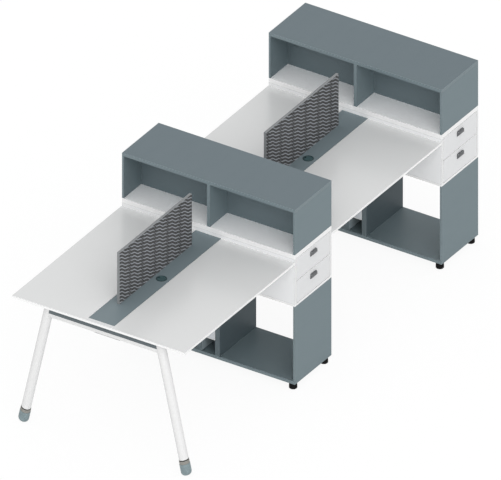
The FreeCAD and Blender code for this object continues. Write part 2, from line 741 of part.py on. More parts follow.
def slide(bay, side_name, side, level, face_name, facing):
    """The strip on the tray's side that runs in the channel, with its stop lug at the back."""
    name = f"{bay}_{side_name}_{level}_{face_name}_slide"
    low = f"({runner_low(level)} + runner_wall + fit_gap)"
    length = on_side(side, TRAY_BACK, FRONT_BACK)
    fin = beside(bay, facing, "(runner_wall + slide_gap)", "drawer_side_gap")
    lug = beside(bay, facing, "(runner_wall + slide_gap)", "(runner_reach - slide_gap)")
    fin_top = f"({low} + runner_wall)"
    return fused(name, [
        board(f"{name}_web", length, beside(bay, facing, "(drawer_side_gap - runner_wall)", "drawer_side_gap"),
              (low, f"{low} + slide_height")),
        board(f"{name}_fin", length, fin, (low, fin_top)),
        board(f"{name}_lug", on_side(side, TRAY_BACK, f"{TRAY_BACK} + stop_run"), lug,
              (low, f"{fin_top} + stop_rise")),
    ])


def drawer_front(name, bay, side, level):
    """The panel that shows at the end of the unit."""
    across = on_side(side, FRONT_BACK, HALF_WIDTH)
    inset = "(board_thickness + front_side_gap)"
    depth = in_unit(bay, inset, f"(storage_depth - {inset})")
    low = front_low(level)
    keep(board(f"{name}_front", across, depth, (low, f"{low} + {FRONT_RISE}")))


def drawer_tray(name, bay, side_name, side, level):
    """The tray's boards, each a solid of its own, and the two strips that carry it."""
    low = tray_low(level)
    high = f"({low} + drawer_rise)"
    floor_top = f"({low} + drawer_floor)"
    inset = "(board_thickness + drawer_side_gap)"
    inner = f"({inset} + drawer_board)"
    whole = in_unit(bay, inset, f"(storage_depth - {inset})")
    between = in_unit(bay, inner, f"(storage_depth - {inner})")
    length = on_side(side, TRAY_BACK, FRONT_BACK)
    back = on_side(side, TRAY_BACK, f"{TRAY_BACK} + drawer_board")
    front = on_side(side, f"{FRONT_BACK} - drawer_board", FRONT_BACK)
    boards = [
        board(f"{name}_floor", length, whole, (low, floor_top)),
        board(f"{name}_back", back, between, (floor_top, high)),
        board(f"{name}_inner_front", front, between, (floor_top, high)),
    ]
    for face_name, facing in FACES:
        edge = beside(bay, facing, "drawer_side_gap", "(drawer_side_gap + drawer_board)")
        boards.append(board(f"{name}_{face_name}_side", length, edge, (floor_top, high)))
        boards.append(slide(bay, side_name, side, level, face_name, facing))
    keep(group(f"{name}_tray", boards))


def drawer_handle(name, bay, side, level):
    """A cup pull: a hood closed above and at its ends, and open below for the fingers."""
    body = doc.addObject("PartDesign::Body", f"{name}_handle")
    reach_out = f"{side} * handle_reach"
    reach_in = f"{side} * (handle_reach - handle_wall)"
    half_out = "handle_length / 2"
    half_in = "(handle_length / 2 - handle_wall)"
    outer = rectangle(("0", reach_out), (f"-{half_out}", half_out))
    inner = rectangle(("0", reach_in), (f"-{half_in}", half_in))
    foot = f"{side} * handle_wall"
    below = [(foot, "0"), (reach_out, "0"), (reach_out, "handle_height - handle_lip")]
    pad(body, outline(body, "XY_Plane", outer), "handle_height")
    rounded(body, f"{name}_outer_corners", "handle_round", upright_at(outer[1:3]))
    pocket(body, outline(body, "XY_Plane", inner), "handle_height - handle_wall")
    rounded(body, f"{name}_inner_corners", "handle_round - handle_wall", upright_at(inner[1:3]))
    pocket(body, outline(body, "XZ_Plane", below), "handle_length")
    top, near = number("handle_height"), number("fit_gap")
    rounded(body, f"{name}_top_edge", "handle_wall",
            lambda edge: edge.BoundBox.ZMin > top - near and abs(edge.BoundBox.Center.x) > near)
    front_top = f"{front_low(level)} + {FRONT_RISE}"
    middle_y = f"{unit_start(bay)} + storage_depth / 2"
    keep(seat(body, f"{side} * {HALF_WIDTH}", middle_y, f"{front_top} - handle_drop - handle_height"))


def drawer(bay, side_name, side, level):
    """One drawer: its front, its tray with slides, and its pull."""
    name = f"{bay}_{side_name}_{level}"
    drawer_front(name, bay, side, level)
    drawer_tray(name, bay, side_name, side, level)
    drawer_handle(name, bay, side, level)


PLACES = [(bay, side_name, side, level) for bay in BAYS for side_name, side in SIDES for level in LEVELS]
for place in PLACES:
    drawer(*place)
keep(group("drawer_runners", [runner(*place, *face) for place in PLACES for face in FACES]))


# Check the model and write one file for each piece.

doc.recompute()
failed = [item.Name for item in doc.Objects if "Invalid" in item.State or "Error" in item.State]
failed += [item.Label for item in kept if item.Shape.isNull() or not item.Shape.isValid()]
if failed:
    raise ValueError(f"these did not build: {failed}")
os.makedirs("parts", exist_ok=True)
for item in kept:
    item.Shape.exportStep(f"parts/{item.Label}.step")
print(f"{len(kept)} pieces, {sum(len(item.Shape.Solids) for item in kept)} solids")
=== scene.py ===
import json
import math

import bmesh
import bpy
from mathutils import Matrix, Vector

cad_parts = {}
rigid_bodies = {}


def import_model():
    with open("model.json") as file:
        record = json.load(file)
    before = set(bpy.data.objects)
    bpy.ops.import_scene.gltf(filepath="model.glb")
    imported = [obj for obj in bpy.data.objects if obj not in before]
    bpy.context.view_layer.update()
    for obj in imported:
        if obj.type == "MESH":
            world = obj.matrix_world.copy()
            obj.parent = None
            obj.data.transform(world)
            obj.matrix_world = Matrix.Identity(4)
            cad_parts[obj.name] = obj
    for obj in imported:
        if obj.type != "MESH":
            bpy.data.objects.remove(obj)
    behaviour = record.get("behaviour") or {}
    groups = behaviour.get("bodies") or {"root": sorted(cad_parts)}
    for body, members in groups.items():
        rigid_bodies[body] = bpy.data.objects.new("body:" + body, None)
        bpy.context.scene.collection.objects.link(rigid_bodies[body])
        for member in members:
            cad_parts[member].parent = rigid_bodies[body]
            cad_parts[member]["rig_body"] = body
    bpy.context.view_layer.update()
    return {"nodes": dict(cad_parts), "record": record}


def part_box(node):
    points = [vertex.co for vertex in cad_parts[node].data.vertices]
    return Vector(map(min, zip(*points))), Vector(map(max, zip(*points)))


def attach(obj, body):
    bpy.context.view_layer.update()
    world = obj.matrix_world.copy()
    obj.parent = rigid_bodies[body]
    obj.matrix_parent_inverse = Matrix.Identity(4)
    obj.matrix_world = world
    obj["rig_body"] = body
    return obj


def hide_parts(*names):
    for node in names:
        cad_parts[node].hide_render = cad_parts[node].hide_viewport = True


# The looks of a run of two back to back desk bays. Lengths are in metres, in the frame of the CAD:
# X across the desks, Y along them, Z up from the floor, with the open leg frame at the near end.

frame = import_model()
BAYS = ("near", "far")
SIDES = (("left", -1), ("right", 1))
DRAWERS = [(f"{bay}_{side_name}_{level}", bay, side, level)
           for bay in BAYS for side_name, side in SIDES for level in ("lower", "upper")]
SLOTS = {part["node"]: part["material_slot"] for part in frame["record"]["subparts"]}


def add_object(name, data):
    """An object in the scene that shows some data, or nothing."""
    item = bpy.data.objects.new(name, data)
    bpy.context.scene.collection.objects.link(item)
    return item


# Camera: the photograph is a parallel projection. A metre along X, Y and Z has its own run across and down
# the picture, in points of FRAME, with the CAD's origin at ORIGIN_AT. The camera looks at a point of the
# desks' height, and STRETCH gives its sheared axes room.

ACROSS = Vector((144.09, 91.7, 0.0))
DOWN = Vector((48.03, -75.09, -171.1))
ORIGIN_AT = (245.05, 332.5)
FRAME = (501, 480)
VIEW_HEIGHT = 0.75
VIEW_DISTANCE = 20
VIEW_CLIP = (0.5, 200)
STRETCH = 1.35


def place_camera():
    """The photograph's camera, on a rig that holds its sheared axes."""
    back = DOWN.cross(ACROSS).normalized()
    right, up = DOWN.cross(back), ACROSS.cross(back)
    right, up = right / right.dot(ACROSS), -up / up.dot(DOWN)
    reach = STRETCH * max(right.length, up.length)
    axes = [(side + back * math.sqrt(reach ** 2 - side.length_squared)) / reach for side in (right, up)]
    middle = [half / 2 - start for half, start in zip(FRAME, ORIGIN_AT)]
    middle[1] -= VIEW_HEIGHT * DOWN.z
    determinant = ACROSS.x * DOWN.y - ACROSS.y * DOWN.x
    target = Vector(((middle[0] * DOWN.y - ACROSS.y * middle[1]) / determinant,
                     (ACROSS.x * middle[1] - middle[0] * DOWN.x) / determinant, VIEW_HEIGHT))
    lens = bpy.data.cameras.new("view")
    lens.type = "ORTHO"
    lens.ortho_scale = FRAME[0] * reach
    lens.clip_start, lens.clip_end = VIEW_CLIP
    camera, rig = add_object("view", lens), add_object("view_rig", None)
    camera.parent = rig
    turn = Matrix([*axes, back]).transposed().to_4x4()
    camera.matrix_parent_inverse = Matrix.Translation(target + back * VIEW_DISTANCE) @ turn
    bpy.context.scene.camera = camera


place_camera()


# Finishes. Each is a node tree on Object coordinates, and sizes in it are metres.

def shade(red, green, blue):
    """A colour from its 0 to 255 values, as the shaders take it."""
    parts = [value / 255 for value in (red, green, blue)]
    linear = [value / 12.92 if value <= 0.04045 else ((value + 0.055) / 1.055) ** 2.4 for value in parts]
    return (*linear, 1)


def tinted(tone, share, lift=0.0):
    """A tone made darker or lighter by a share."""
    return [min(value * share + lift, 1) for value in tone[:3]] + [1]


def add_node(tree, kind, inputs=(), **settings):
    """A node with its settings, and values or links for its inputs."""
    node = tree.nodes.new(kind)
    for name, value in settings.items():
        setattr(node, name, value)
    for socket, value in dict(inputs).items():
        if isinstance(value, bpy.types.NodeSocket):
            tree.links.new(value, node.inputs[socket])
        else:
            node.inputs[socket].default_value = value
    return node


class Finish:
    """One material, with short ways to add the nodes that the finishes share."""

    def __init__(self, name, **sockets):
        self.material = bpy.data.materials.new(name)
        self.material.use_nodes = True
        self.tree = self.material.node_tree
        self.shader = self.tree.nodes["Principled BSDF"]
        for socket, value in sockets.items():
            self.shader.inputs[socket.replace("_", " ")].default_value = value
        self.place = self.add("ShaderNodeTexCoord").outputs["Object"]

    def add(self, kind, inputs=(), **settings):
        """A node of this material."""
        return add_node(self.tree, kind, inputs, **settings)

    def stretched(self, x=1, y=1, z=1):
        """Object coordinates scaled along each axis."""
        return self.add("ShaderNodeMapping", {"Vector": self.place, "Scale": (x, y, z)}).outputs["Vector"]

    def noise(self, size, detail=3, rough=0.5, place=None, warp=0):
        """Cloudy values about a half, with features of that size."""
        inputs = {"Vector": place or self.place, "Scale": 1 / size, "Detail": detail,
                  "Roughness": rough, "Distortion": warp}
        return self.add("ShaderNodeTexNoise", inputs).outputs["Fac"]

    def cells(self, size):
        """Smoothed distances in a field of random cells of that size."""
        inputs = {"Vector": self.place, "Scale": 1 / size}
        return self.add("ShaderNodeTexVoronoi", inputs, feature="SMOOTH_F1").outputs["Distance"]

    def math(self, operation, first, second=0.0):
        """One step of arithmetic."""
        return self.add("ShaderNodeMath", {0: first, 1: second}, operation=operation).outputs[0]

    def fit(self, value, low, high, new_low, new_high, smooth=False):
        """A value's range fitted to a new one, and held inside it."""
        inputs = {"Value": value, "From Min": low, "From Max": high, "To Min": new_low, "To Max": new_high}
        kind = "SMOOTHSTEP" if smooth else "LINEAR"
        return self.add("ShaderNodeMapRange", inputs, interpolation_type=kind).outputs["Result"]

    def spread(self, noise, low=0.0, high=1.0, margin=0.2):
        """The usual range of a noise, a margin each side of a half, fitted to a new one."""
        return self.fit(noise, 0.5 - margin, 0.5 + margin, low, high)

    def mix(self, share, first, second):
        """Two colours mixed by a share."""
        inputs = {"Factor": share, 6: first, 7: second}
        return self.add("ShaderNodeMix", inputs, data_type="RGBA").outputs[2]

    def bump(self, height, depth, strength=1.0, under=None):
        """Relief of that depth, over another bump if there is one."""
        inputs = {"Height": height, "Distance": depth, "Strength": strength}
        if under is not None:
            inputs["Normal"] = under
        return self.add("ShaderNodeBump", inputs).outputs["Normal"]

    def wear(self, **links):
        """Link the finished nodes to the shader."""
        for socket, source in links.items():
            self.tree.links.new(source, self.shader.inputs[socket.replace("_", " ")])
        return self.material


def laminate(name, tone, gloss, pearl=0.045, shine=0.25):
    """Printed laminate: a fine fleck in the print, a stippled press plate and faint wiping marks."""
    finish = Finish(name, Specular_IOR_Level=shine)
    fleck = finish.noise(0.0016, detail=4, rough=0.7)
    cloud = finish.noise(0.23, detail=2)
    print_tone = finish.mix(finish.spread(fleck), tinted(tone, 1 - pearl), tinted(tone, 1 + pearl))
    clouded = finish.mix(finish.spread(cloud, 0, 0.5, margin=0.15), print_tone, tone)
    wiping = finish.noise(0.05, detail=3, place=finish.stretched(1, 0.22, 1), warp=0.6)
    roughness = finish.spread(wiping, gloss * 0.96, gloss * 1.05)
    plate = finish.bump(finish.cells(0.0013), 0.00006, 0.6)
    flat = finish.bump(finish.noise(0.11, detail=1), 0.0002, 0.12, under=plate)
    return finish.wear(Base_Color=clouded, Roughness=roughness, Normal=flat)


def edge_band(name, tone, gloss):
    """Extruded edge band: drawn fine lines, a little glossier than the board, rubbed here and there."""
    finish = Finish(name)
    drawn = finish.noise(0.0011, detail=2, place=finish.stretched(0.12, 0.12, 1))
    rubbed = finish.noise(0.07, detail=5, rough=0.65)
    worn = finish.fit(rubbed, 0.58, 0.7, 0, 0.55, smooth=True)
    return finish.wear(Base_Color=finish.mix(worn, tone, tinted(tone, 1.1)),
                       Roughness=finish.spread(rubbed, gloss - 0.05, gloss + 0.08),
                       Normal=finish.bump(drawn, 0.00008, 0.6))


def glue_line(name, tone):
    """The thin line of glue and dirt between a board's face and its edge band."""
    finish = Finish(name)
    dirt = finish.noise(0.012, detail=4)
    return finish.wear(Base_Color=finish.mix(dirt, tone, tinted(tone, 1.6)),
                       Roughness=finish.fit(dirt, 0, 1, 0.6, 0.85))


def powder_coat(name, tone, gloss):
    """Powder coat: orange peel, fine specks, and rubbed places."""
    finish = Finish(name)
    peel = finish.noise(0.0024, detail=1, rough=0.4)
    grit = finish.noise(0.0007, detail=2)
    rubbed = finish.noise(0.06, detail=4, rough=0.6)
    colour = finish.mix(finish.fit(grit, 0.35, 0.7, 0, 1), tinted(tone, 0.94), tone)
    relief = finish.bump(grit, 0.00003, 0.5, under=finish.bump(peel, 0.00012, 0.7))
    return finish.wear(Base_Color=colour, Roughness=finish.spread(rubbed, gloss - 0.06, gloss + 0.08),
                       Normal=relief)


def zinc(name):
    """Zinc plated sheet: crystals of slightly different tone and gloss, with drawn lines along Y."""
    finish = Finish(name, Metallic=1.0)
    cells = finish.add("ShaderNodeTexVoronoi", {"Vector": finish.place, "Scale": 1 / 0.012})
    crystal = finish.add("ShaderNodeSeparateColor", {0: cells.outputs["Color"]}).outputs[0]
    drawn = finish.noise(0.0009, detail=2, place=finish.stretched(1, 0.05, 1))
    colour = finish.mix(crystal, shade(150, 154, 158), shade(178, 181, 184))
    tarnish = finish.fit(finish.noise(0.05, detail=5, rough=0.6), 0.5, 0.75, 0, 0.5, smooth=True)
    dulled = finish.mix(tarnish, colour, shade(120, 122, 124))
    return finish.wear(Base_Color=dulled, Roughness=finish.fit(crystal, 0, 1, 0.34, 0.5),
                       Normal=finish.bump(drawn, 0.00003, 0.5))


def moulded(name, tone, gloss, shine=0.5):
    """Moulded plastic: spark eroded texture, slight flow marks and rubbed high spots."""
    finish = Finish(name, Specular_IOR_Level=shine)
    flow = finish.noise(0.02, detail=3, warp=0.8)
    colour = finish.mix(finish.spread(flow, margin=0.15), tinted(tone, 0.86), tinted(tone, 1.1, 0.002))
    return finish.wear(Base_Color=colour, Roughness=finish.spread(flow, gloss - 0.05, gloss + 0.08),
                       Normal=finish.bump(finish.cells(0.0009), 0.00006, 0.6))


def satin_metal(name, tone, gloss):
    """Brushed and lacquered casting: hairlines along the pull, a little polished by hands."""
    finish = Finish(name, Metallic=0.8)
    hairline = finish.noise(0.0007, detail=3, place=finish.stretched(1, 0.05, 1))
    handled = finish.noise(0.03, detail=2)
    return finish.wear(Base_Color=finish.mix(finish.spread(hairline), tinted(tone, 0.8), tone),
                       Roughness=finish.spread(handled, gloss - 0.06, gloss + 0.06, margin=0.15),
                       Normal=finish.bump(hairline, 0.00003, 0.5))


def melamine(name, tone):
    """Thin melamine paper on chipboard, with a faint show of the chips below."""
    finish = Finish(name)
    chips = finish.noise(0.004, detail=3, place=finish.stretched(1, 0.45, 1))
    return finish.wear(Base_Color=finish.mix(finish.spread(chips, margin=0.15), tinted(tone, 0.95), tone),
                       Roughness=finish.spread(chips, 0.45, 0.56), Normal=finish.bump(chips, 0.00008, 0.4))


# The waves on the screens: bands that fall along Y, in columns that are each half a band off the last.

WAVE_PITCH = 0.02
WAVE_FALL = 0.44
WAVE_RUN = 0.137
WAVE_HUMPS = 2
WAVE_RISE = 0.0034
THREAD = 0.0021


def wave_phase(y, z):
    """How far a point of the screen is through the band of its wave, from 0 to 1."""
    swing = WAVE_RISE * math.sin(2 * math.pi * WAVE_HUMPS * y / WAVE_RUN)
    return ((z + WAVE_FALL * y + swing) / WAVE_PITCH + 0.5 * math.floor(y / WAVE_RUN)) % 1


def screen_cloth(name, light, dark):
    """Woven screen fabric: dark waves over a grey ground, with the two yarns of the weave in relief."""
    finish = Finish(name, Sheen_Weight=0.25, Sheen_Roughness=0.5)
    maths = finish.math
    place = finish.add("ShaderNodeSeparateXYZ", {0: finish.place})
    y, z = place.outputs["Y"], place.outputs["Z"]
    turns = maths("MULTIPLY", y, 2 * math.pi * WAVE_HUMPS / WAVE_RUN)
    swing = maths("MULTIPLY", maths("SINE", turns), WAVE_RISE)
    fray = maths("MULTIPLY", maths("SUBTRACT", finish.noise(0.004, detail=3), 0.5), 0.005)
    fall = maths("MULTIPLY", y, WAVE_FALL)
    height = maths("ADD", maths("ADD", z, fall), maths("ADD", swing, fray))
    step = maths("MULTIPLY", maths("FLOOR", maths("DIVIDE", y, WAVE_RUN)), 0.5)
    band = maths("PINGPONG", maths("ADD", maths("DIVIDE", height, WAVE_PITCH), step), 0.5)
    column = maths("FRACT", maths("DIVIDE", y, WAVE_RUN))
    seam = finish.fit(maths("PINGPONG", column, 0.5), 0.02, 0.16, 0.1, 0, smooth=True)
    wave = finish.fit(maths("SUBTRACT", band, seam), 0.31, 0.38, 1, 0, smooth=True)
    warp = maths("SINE", maths("MULTIPLY", y, 2 * math.pi / THREAD))
    weft = maths("SINE", maths("MULTIPLY", z, 2 * math.pi / THREAD))
    weave = maths("MULTIPLY", warp, weft)
    yarn = finish.noise(0.0012, detail=3, rough=0.7)
    ground = finish.mix(finish.spread(yarn), tinted(light, 0.8), light)
    deep = finish.mix(finish.spread(yarn), dark, tinted(dark, 1.7))
    crossing = finish.mix(finish.fit(weave, -1, 1, 0, 0.35), finish.mix(wave, ground, deep), dark)
    relief = finish.bump(weave, 0.0005, 0.6, under=finish.bump(yarn, 0.0002, 0.5))
    return finish.wear(Base_Color=crossing, Roughness=finish.fit(yarn, 0, 1, 0.82, 0.96), Normal=relief)


def plain_cloth(name, tone):
    """The plain fabric round the edge of a screen, with a rib along it."""
    finish = Finish(name, Sheen_Weight=0.2, Sheen_Roughness=0.5)
    yarn = finish.noise(0.0013, detail=3, rough=0.7)
    rib = finish.noise(0.0018, detail=1, place=finish.stretched(1, 0.2, 0.2))
    relief = finish.bump(rib, 0.0004, 0.7, under=finish.bump(yarn, 0.0002, 0.5))
    return finish.wear(Base_Color=finish.mix(finish.spread(yarn), tinted(tone, 0.8), tone),
                       Roughness=finish.fit(yarn, 0, 1, 0.8, 0.95), Normal=relief)


GREY_LAMINATE = laminate("grey_laminate", shade(112, 126, 131), 0.5)
# Painted shade: the hutch tops get a darker copy of the grey laminate, for the shade on their upward faces.
GREY_TOP_PAINTED_SHADE = laminate("grey_top_laminate", shade(103, 116, 122), 0.5)
# Painted light: a lighter copy of the grey laminate on the raceway covers, to lift the screens' shade off
# them.
GREY_COVER_PAINTED_LIGHT = laminate("grey_cover_laminate", shade(117, 130, 135), 0.5)
# Painted shade: a darker copy of the grey laminate and of its edge band on the partitions, for the shade
# inside the niches.
GREY_DEEP_PAINTED_SHADE = laminate("grey_inner_laminate", shade(77, 89, 94), 0.5)
GREY_DEEP_BAND_PAINTED_SHADE = edge_band("grey_inner_band", shade(84, 97, 102), 0.46)
# Painted light: a lighter copy of the grey laminate on the partitions' sides in the cable chute, to lift the
# chute's shade.
GREY_CHUTE_PAINTED_LIGHT = laminate("grey_chute_laminate", shade(150, 162, 167), 0.5)
# Painted shade: a darker copy of the grey laminate on the hutch backs, for the shade inside the hutches.
GREY_BACK_PAINTED_SHADE = laminate("grey_back_laminate", shade(99, 112, 117), 0.5)
GREY_BAND = edge_band("grey_edge_band", shade(110, 124, 129), 0.46)
GREY_JOINT = glue_line("grey_glue_line", shade(78, 86, 90))
WHITE_LAMINATE = laminate("white_laminate", shade(221, 222, 223), 0.42, pearl=0.02)
WHITE_DESK = laminate("white_desk_laminate", shade(222, 223, 223), 0.24, pearl=0.02, shine=0.55)
# Painted light: a near white copy of the white laminate on the case tops, to lift the hutches' shade off the
# shelf.
WHITE_SHELF_PAINTED_LIGHT = laminate("white_shelf_laminate", shade(250, 251, 252), 0.42, pearl=0.01)
# Painted shade: a slightly darker copy of the white laminate on the drawer fronts, against the key lamp's
# light on them.
WHITE_FRONT_PAINTED_SHADE = laminate("white_front_laminate", shade(219, 220, 221), 0.42, pearl=0.02)
# Painted shade: a darker copy of the white laminate on the riser panels, for the shade under the desks.
WHITE_RISER_PAINTED_SHADE = laminate("white_riser_laminate", shade(205, 209, 213), 0.42, pearl=0.02)
# Painted light: a brighter copy of the white laminate on the case sides, to lift the shade on them.
WHITE_CASE_PAINTED_LIGHT = laminate("white_case_laminate", shade(232, 233, 234), 0.42, pearl=0.02)
WHITE_CASE_BAND = edge_band("white_case_band", shade(221, 222, 222), 0.4)
# Painted highlight: this band is whiter than the boards, so the band and its rim draw a bright line along the
# white boards' edges.
WHITE_BAND_PAINTED_HIGHLIGHT = edge_band("white_edge_band", shade(236, 236, 236), 0.36)
WHITE_JOINT = glue_line("white_glue_line", shade(150, 150, 148))
DRAWER_BOARD = melamine("drawer_board", shade(222, 221, 216))
DRAWER_BAND = edge_band("drawer_edge_band", shade(226, 225, 220), 0.42)
WHITE_COAT = powder_coat("white_powder_coat", shade(225, 225, 225), 0.36)
GREY_COAT = powder_coat("grey_powder_coat", shade(88, 98, 102), 0.45)
ZINC = zinc("zinc_plated_steel")
GROMMET = moulded("grommet_plastic", shade(30, 54, 57), 0.4)
GROMMET_LID = moulded("grommet_lid_plastic", shade(58, 84, 87), 0.4)
COLLAR = moulded("collar_plastic", shade(134, 133, 128), 0.45)
FOOT = moulded("foot_plastic", shade(122, 138, 142), 0.42)
BLACK = moulded("black_plastic", shade(7, 7, 8), 0.5, shine=0.12)
PULL = satin_metal("handle_metal", shade(112, 114, 116), 0.32)
SCREEN_CLOTH = screen_cloth("screen_fabric", shade(160, 165, 172), shade(8, 10, 13))
SCREEN_EDGE = plain_cloth("screen_edge_fabric", shade(132, 135, 137))


# Mesh helpers.

def body_of(node):
    """The CAD body that a node rides on."""
    return frame["nodes"][node]["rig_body"]


def solid_copy(node):
    """A node's solids as one merged mesh, with its flat faces whole again."""
    shape = bmesh.new()
    shape.from_mesh(frame["nodes"][node].data)
    bmesh.ops.remove_doubles(shape, verts=shape.verts, dist=1e-5)
    bmesh.ops.dissolve_limit(shape, angle_limit=math.radians(1), verts=shape.verts, edges=shape.edges)
    return shape


def islands(shape):
    """The faces of each separate solid in a mesh, in the same order each run."""
    met, found = set(), []
    for first in shape.faces:
        if first in met:
            continue
        met.add(first)
        stack, island = [first], []
        while stack:
            face = stack.pop()
            island.append(face)
            for edge in face.edges:
                for other in edge.link_faces:
                    if other not in met:
                        met.add(other)
                        stack.append(other)
        found.append(island)
    return found


def soften(shape, angle=32):
    """Smooth shading, but for edges sharper than an angle."""
    for face in shape.faces:
        face.smooth = True
    for edge in shape.edges:
        edge.smooth = len(edge.link_faces) == 2 and edge.calc_face_angle(0) < math.radians(angle)


def round_edges(shape, radius, segments=2, material=-1):
    """Round the sharp outward edges."""
    sharp = [edge for edge in shape.edges
             if len(edge.link_faces) == 2 and edge.calc_face_angle(0) > math.radians(30)]
    bmesh.ops.bevel(shape, geom=sharp, offset=radius, offset_type="OFFSET", segments=segments, profile=0.5,
                    affect="EDGES", clamp_overlap=True, material=material)


def join_loops(shape, loops, material):
    """Walls between loops that have the same number of points."""
    for first, second in zip(loops, loops[1:]):
        for index in range(len(first)):
            following = (index + 1) % len(first)
            wall = shape.faces.new((first[index], first[following], second[following], second[index]))
            wall.material_index = material


def close_loops(shape, loops):
    """Walls between loops, and an end on the first and on the last, all facing outward."""
    join_loops(shape, loops, 0)
    for loop in (loops[0], loops[-1]):
        shape.faces.new(loop)
    sides = dict.fromkeys(face for loop in loops for vert in loop for face in vert.link_faces)
    bmesh.ops.recalc_face_normals(shape, faces=list(sides))


def slab(shape, *spans):
    """A block between two places on each axis, its sides facing outward."""
    places = [(min(span), max(span)) for span in spans]
    corners = [shape.verts.new((places[0][x], places[1][y], places[2][z]))
               for z in (0, 1) for y in (0, 1) for x in (0, 1)]
    for side in ((0, 2, 3, 1), (4, 5, 7, 6), (0, 1, 5, 4), (2, 6, 7, 3), (0, 4, 6, 2), (1, 3, 7, 5)):
        shape.faces.new([corners[index] for index in side]).normal_update()


def swept(shape, section, start, end, axis=1):
    """A closed section swept along an axis: its points are of Y and Z for X, and of X and Z for Y."""
    close_loops(shape, [[shape.verts.new((along, a, z) if axis == 0 else (a, along, z)) for a, z in section]
                        for along in (start, end)])


def finished_mesh(name, shape):
    """A mesh of the shape, which is done with then."""
    mesh = bpy.data.meshes.new(name)
    shape.to_mesh(mesh)
    shape.free()
    return mesh


def absorb(shape, other):
    """Move a second mesh into the first."""
    mesh = finished_mesh("absorbed", other)
    shape.from_mesh(mesh)
    bpy.data.meshes.remove(mesh)


def piece(name, shape, finishes, body, slot, *nodes):
    """Finish a mesh as a piece that rides on a body and stands for some nodes."""
    mesh = finished_mesh(name, shape)
    for finish in finishes:
        mesh.materials.append(finish)
    item = add_object(name, mesh)
    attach(item, body)
    if nodes:
        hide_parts(*nodes)
    return item


BOARD_ROUNDING, STEEL_ROUNDING, ZINC_ROUNDING = 0.0008, 0.0015, 0.0004
JOINT_WIDTH = 0.0004


def band_rims(shape, band_width):
    """Mark each board's edges as band, with a rim of it on the broad faces, inside a thin glue line."""
    for island in islands(shape):
        corners = [vert.co for side in island for vert in side.verts]
        spans = [max(co[axis] for co in corners) - min(co[axis] for co in corners) for axis in range(3)]
        thin = spans.index(min(spans))
        broad = [side for side in island if abs(side.normal[thin]) > 0.99]
        for side in island:
            side.material_index = 1
        for direction in (-1, 1):
            plate = [side for side in broad if side.normal[thin] * direction > 0]
            for width, material in ((band_width, 1), (JOINT_WIDTH, 2)):
                rim = bmesh.ops.inset_region(shape, faces=plate, thickness=width, use_even_offset=True)
                for side in rim["faces"]:
                    side.material_index = material
            for side in plate:
                side.material_index = 0


def dress_boards(node, face, band, joint, band_width=0.002):
    """The boards of a node, with banded edges."""
    shape = solid_copy(node)
    band_rims(shape, band_width)
    round_edges(shape, BOARD_ROUNDING, segments=3, material=1)
    return piece(f"{node}_finished", shape, (face, band, joint), body_of(node), SLOTS[node], node)


def dress_metal(node, finish, rounding):
    """The metal of a node, with its edges rounded."""
    shape = solid_copy(node)
    round_edges(shape, rounding)
    soften(shape)
    piece(f"{node}_finished", shape, (finish,), body_of(node), SLOTS[node], node)


# The drawers' trays. TRAY_LOW is the height of their undersides, and the back, front, inset and section are
# measured from the middle of the desks, the storage unit's ends and the tray's underside.

UNIT_STARTS = {"near": -0.4, "far": 1.2}
UNIT_DEPTH = 0.4
TRAY_LOW = {"lower": 0.523, "upper": 0.654}
TRAY_BACK, TRAY_FRONT = 0.132, 0.582
TRAY_BOARD, TRAY_BOTTOM, TRAY_RISE = 0.012, 0.006, 0.09
TRAY_INSET = 0.031
TRAY_BAND = 0.001
SLIDE_SECTION = [(0.031, 0.0268), (0.0205, 0.0268), (0.0205, 0.0283), (0.0295, 0.0283), (0.0295, 0.0488),
                 (0.031, 0.0488)]
LUG_RUN, LUG_ACROSS, LUG_RISE = 0.006, (0.0205, 0.0275), (0.0283, 0.0373)


def dress_tray(node, side, start, low):
    """One drawer's tray: five boards that butt together, and the two folded strips that carry it."""
    shape, metal = bmesh.new(), bmesh.new()
    near, far = start + TRAY_INSET, start + UNIT_DEPTH - TRAY_INSET
    length = (side * TRAY_BACK, side * TRAY_FRONT)
    rise = (low + TRAY_BOTTOM, low + TRAY_RISE)
    slab(shape, length, (near, far), (low, low + TRAY_BOTTOM))
    for inner, outer in ((TRAY_BACK, TRAY_BACK + TRAY_BOARD), (TRAY_FRONT - TRAY_BOARD, TRAY_FRONT)):
        slab(shape, (side * inner, side * outer), (near + TRAY_BOARD, far - TRAY_BOARD), rise)
    for inner, outer in ((near, near + TRAY_BOARD), (far - TRAY_BOARD, far)):
        slab(shape, length, (inner, outer), rise)
    band_rims(shape, TRAY_BAND)
    round_edges(shape, BOARD_ROUNDING, segments=3, material=1)
    for edge, way in ((start, 1), (start + UNIT_DEPTH, -1)):
        swept(metal, [(edge + way * y, low + z) for y, z in SLIDE_SECTION], *length, axis=0)
        slab(metal, (side * TRAY_BACK, side * (TRAY_BACK + LUG_RUN)), [edge + way * y for y in LUG_ACROSS],
             [low + z for z in LUG_RISE])
    round_edges(metal, ZINC_ROUNDING)
    for face in metal.faces:
        face.material_index = 3
    absorb(shape, metal)
    finishes = (DRAWER_BOARD, DRAWER_BAND, WHITE_JOINT, ZINC)
    piece(f"{node}_built", shape, finishes, body_of(node), SLOTS[node], node)


GREY_EDGES = (GREY_BAND, GREY_JOINT)
# The white boards' edge band carries a painted highlight.
WHITE_EDGES = (WHITE_BAND_PAINTED_HIGHLIGHT, WHITE_JOINT)
FRONT_BAND = 0.0012

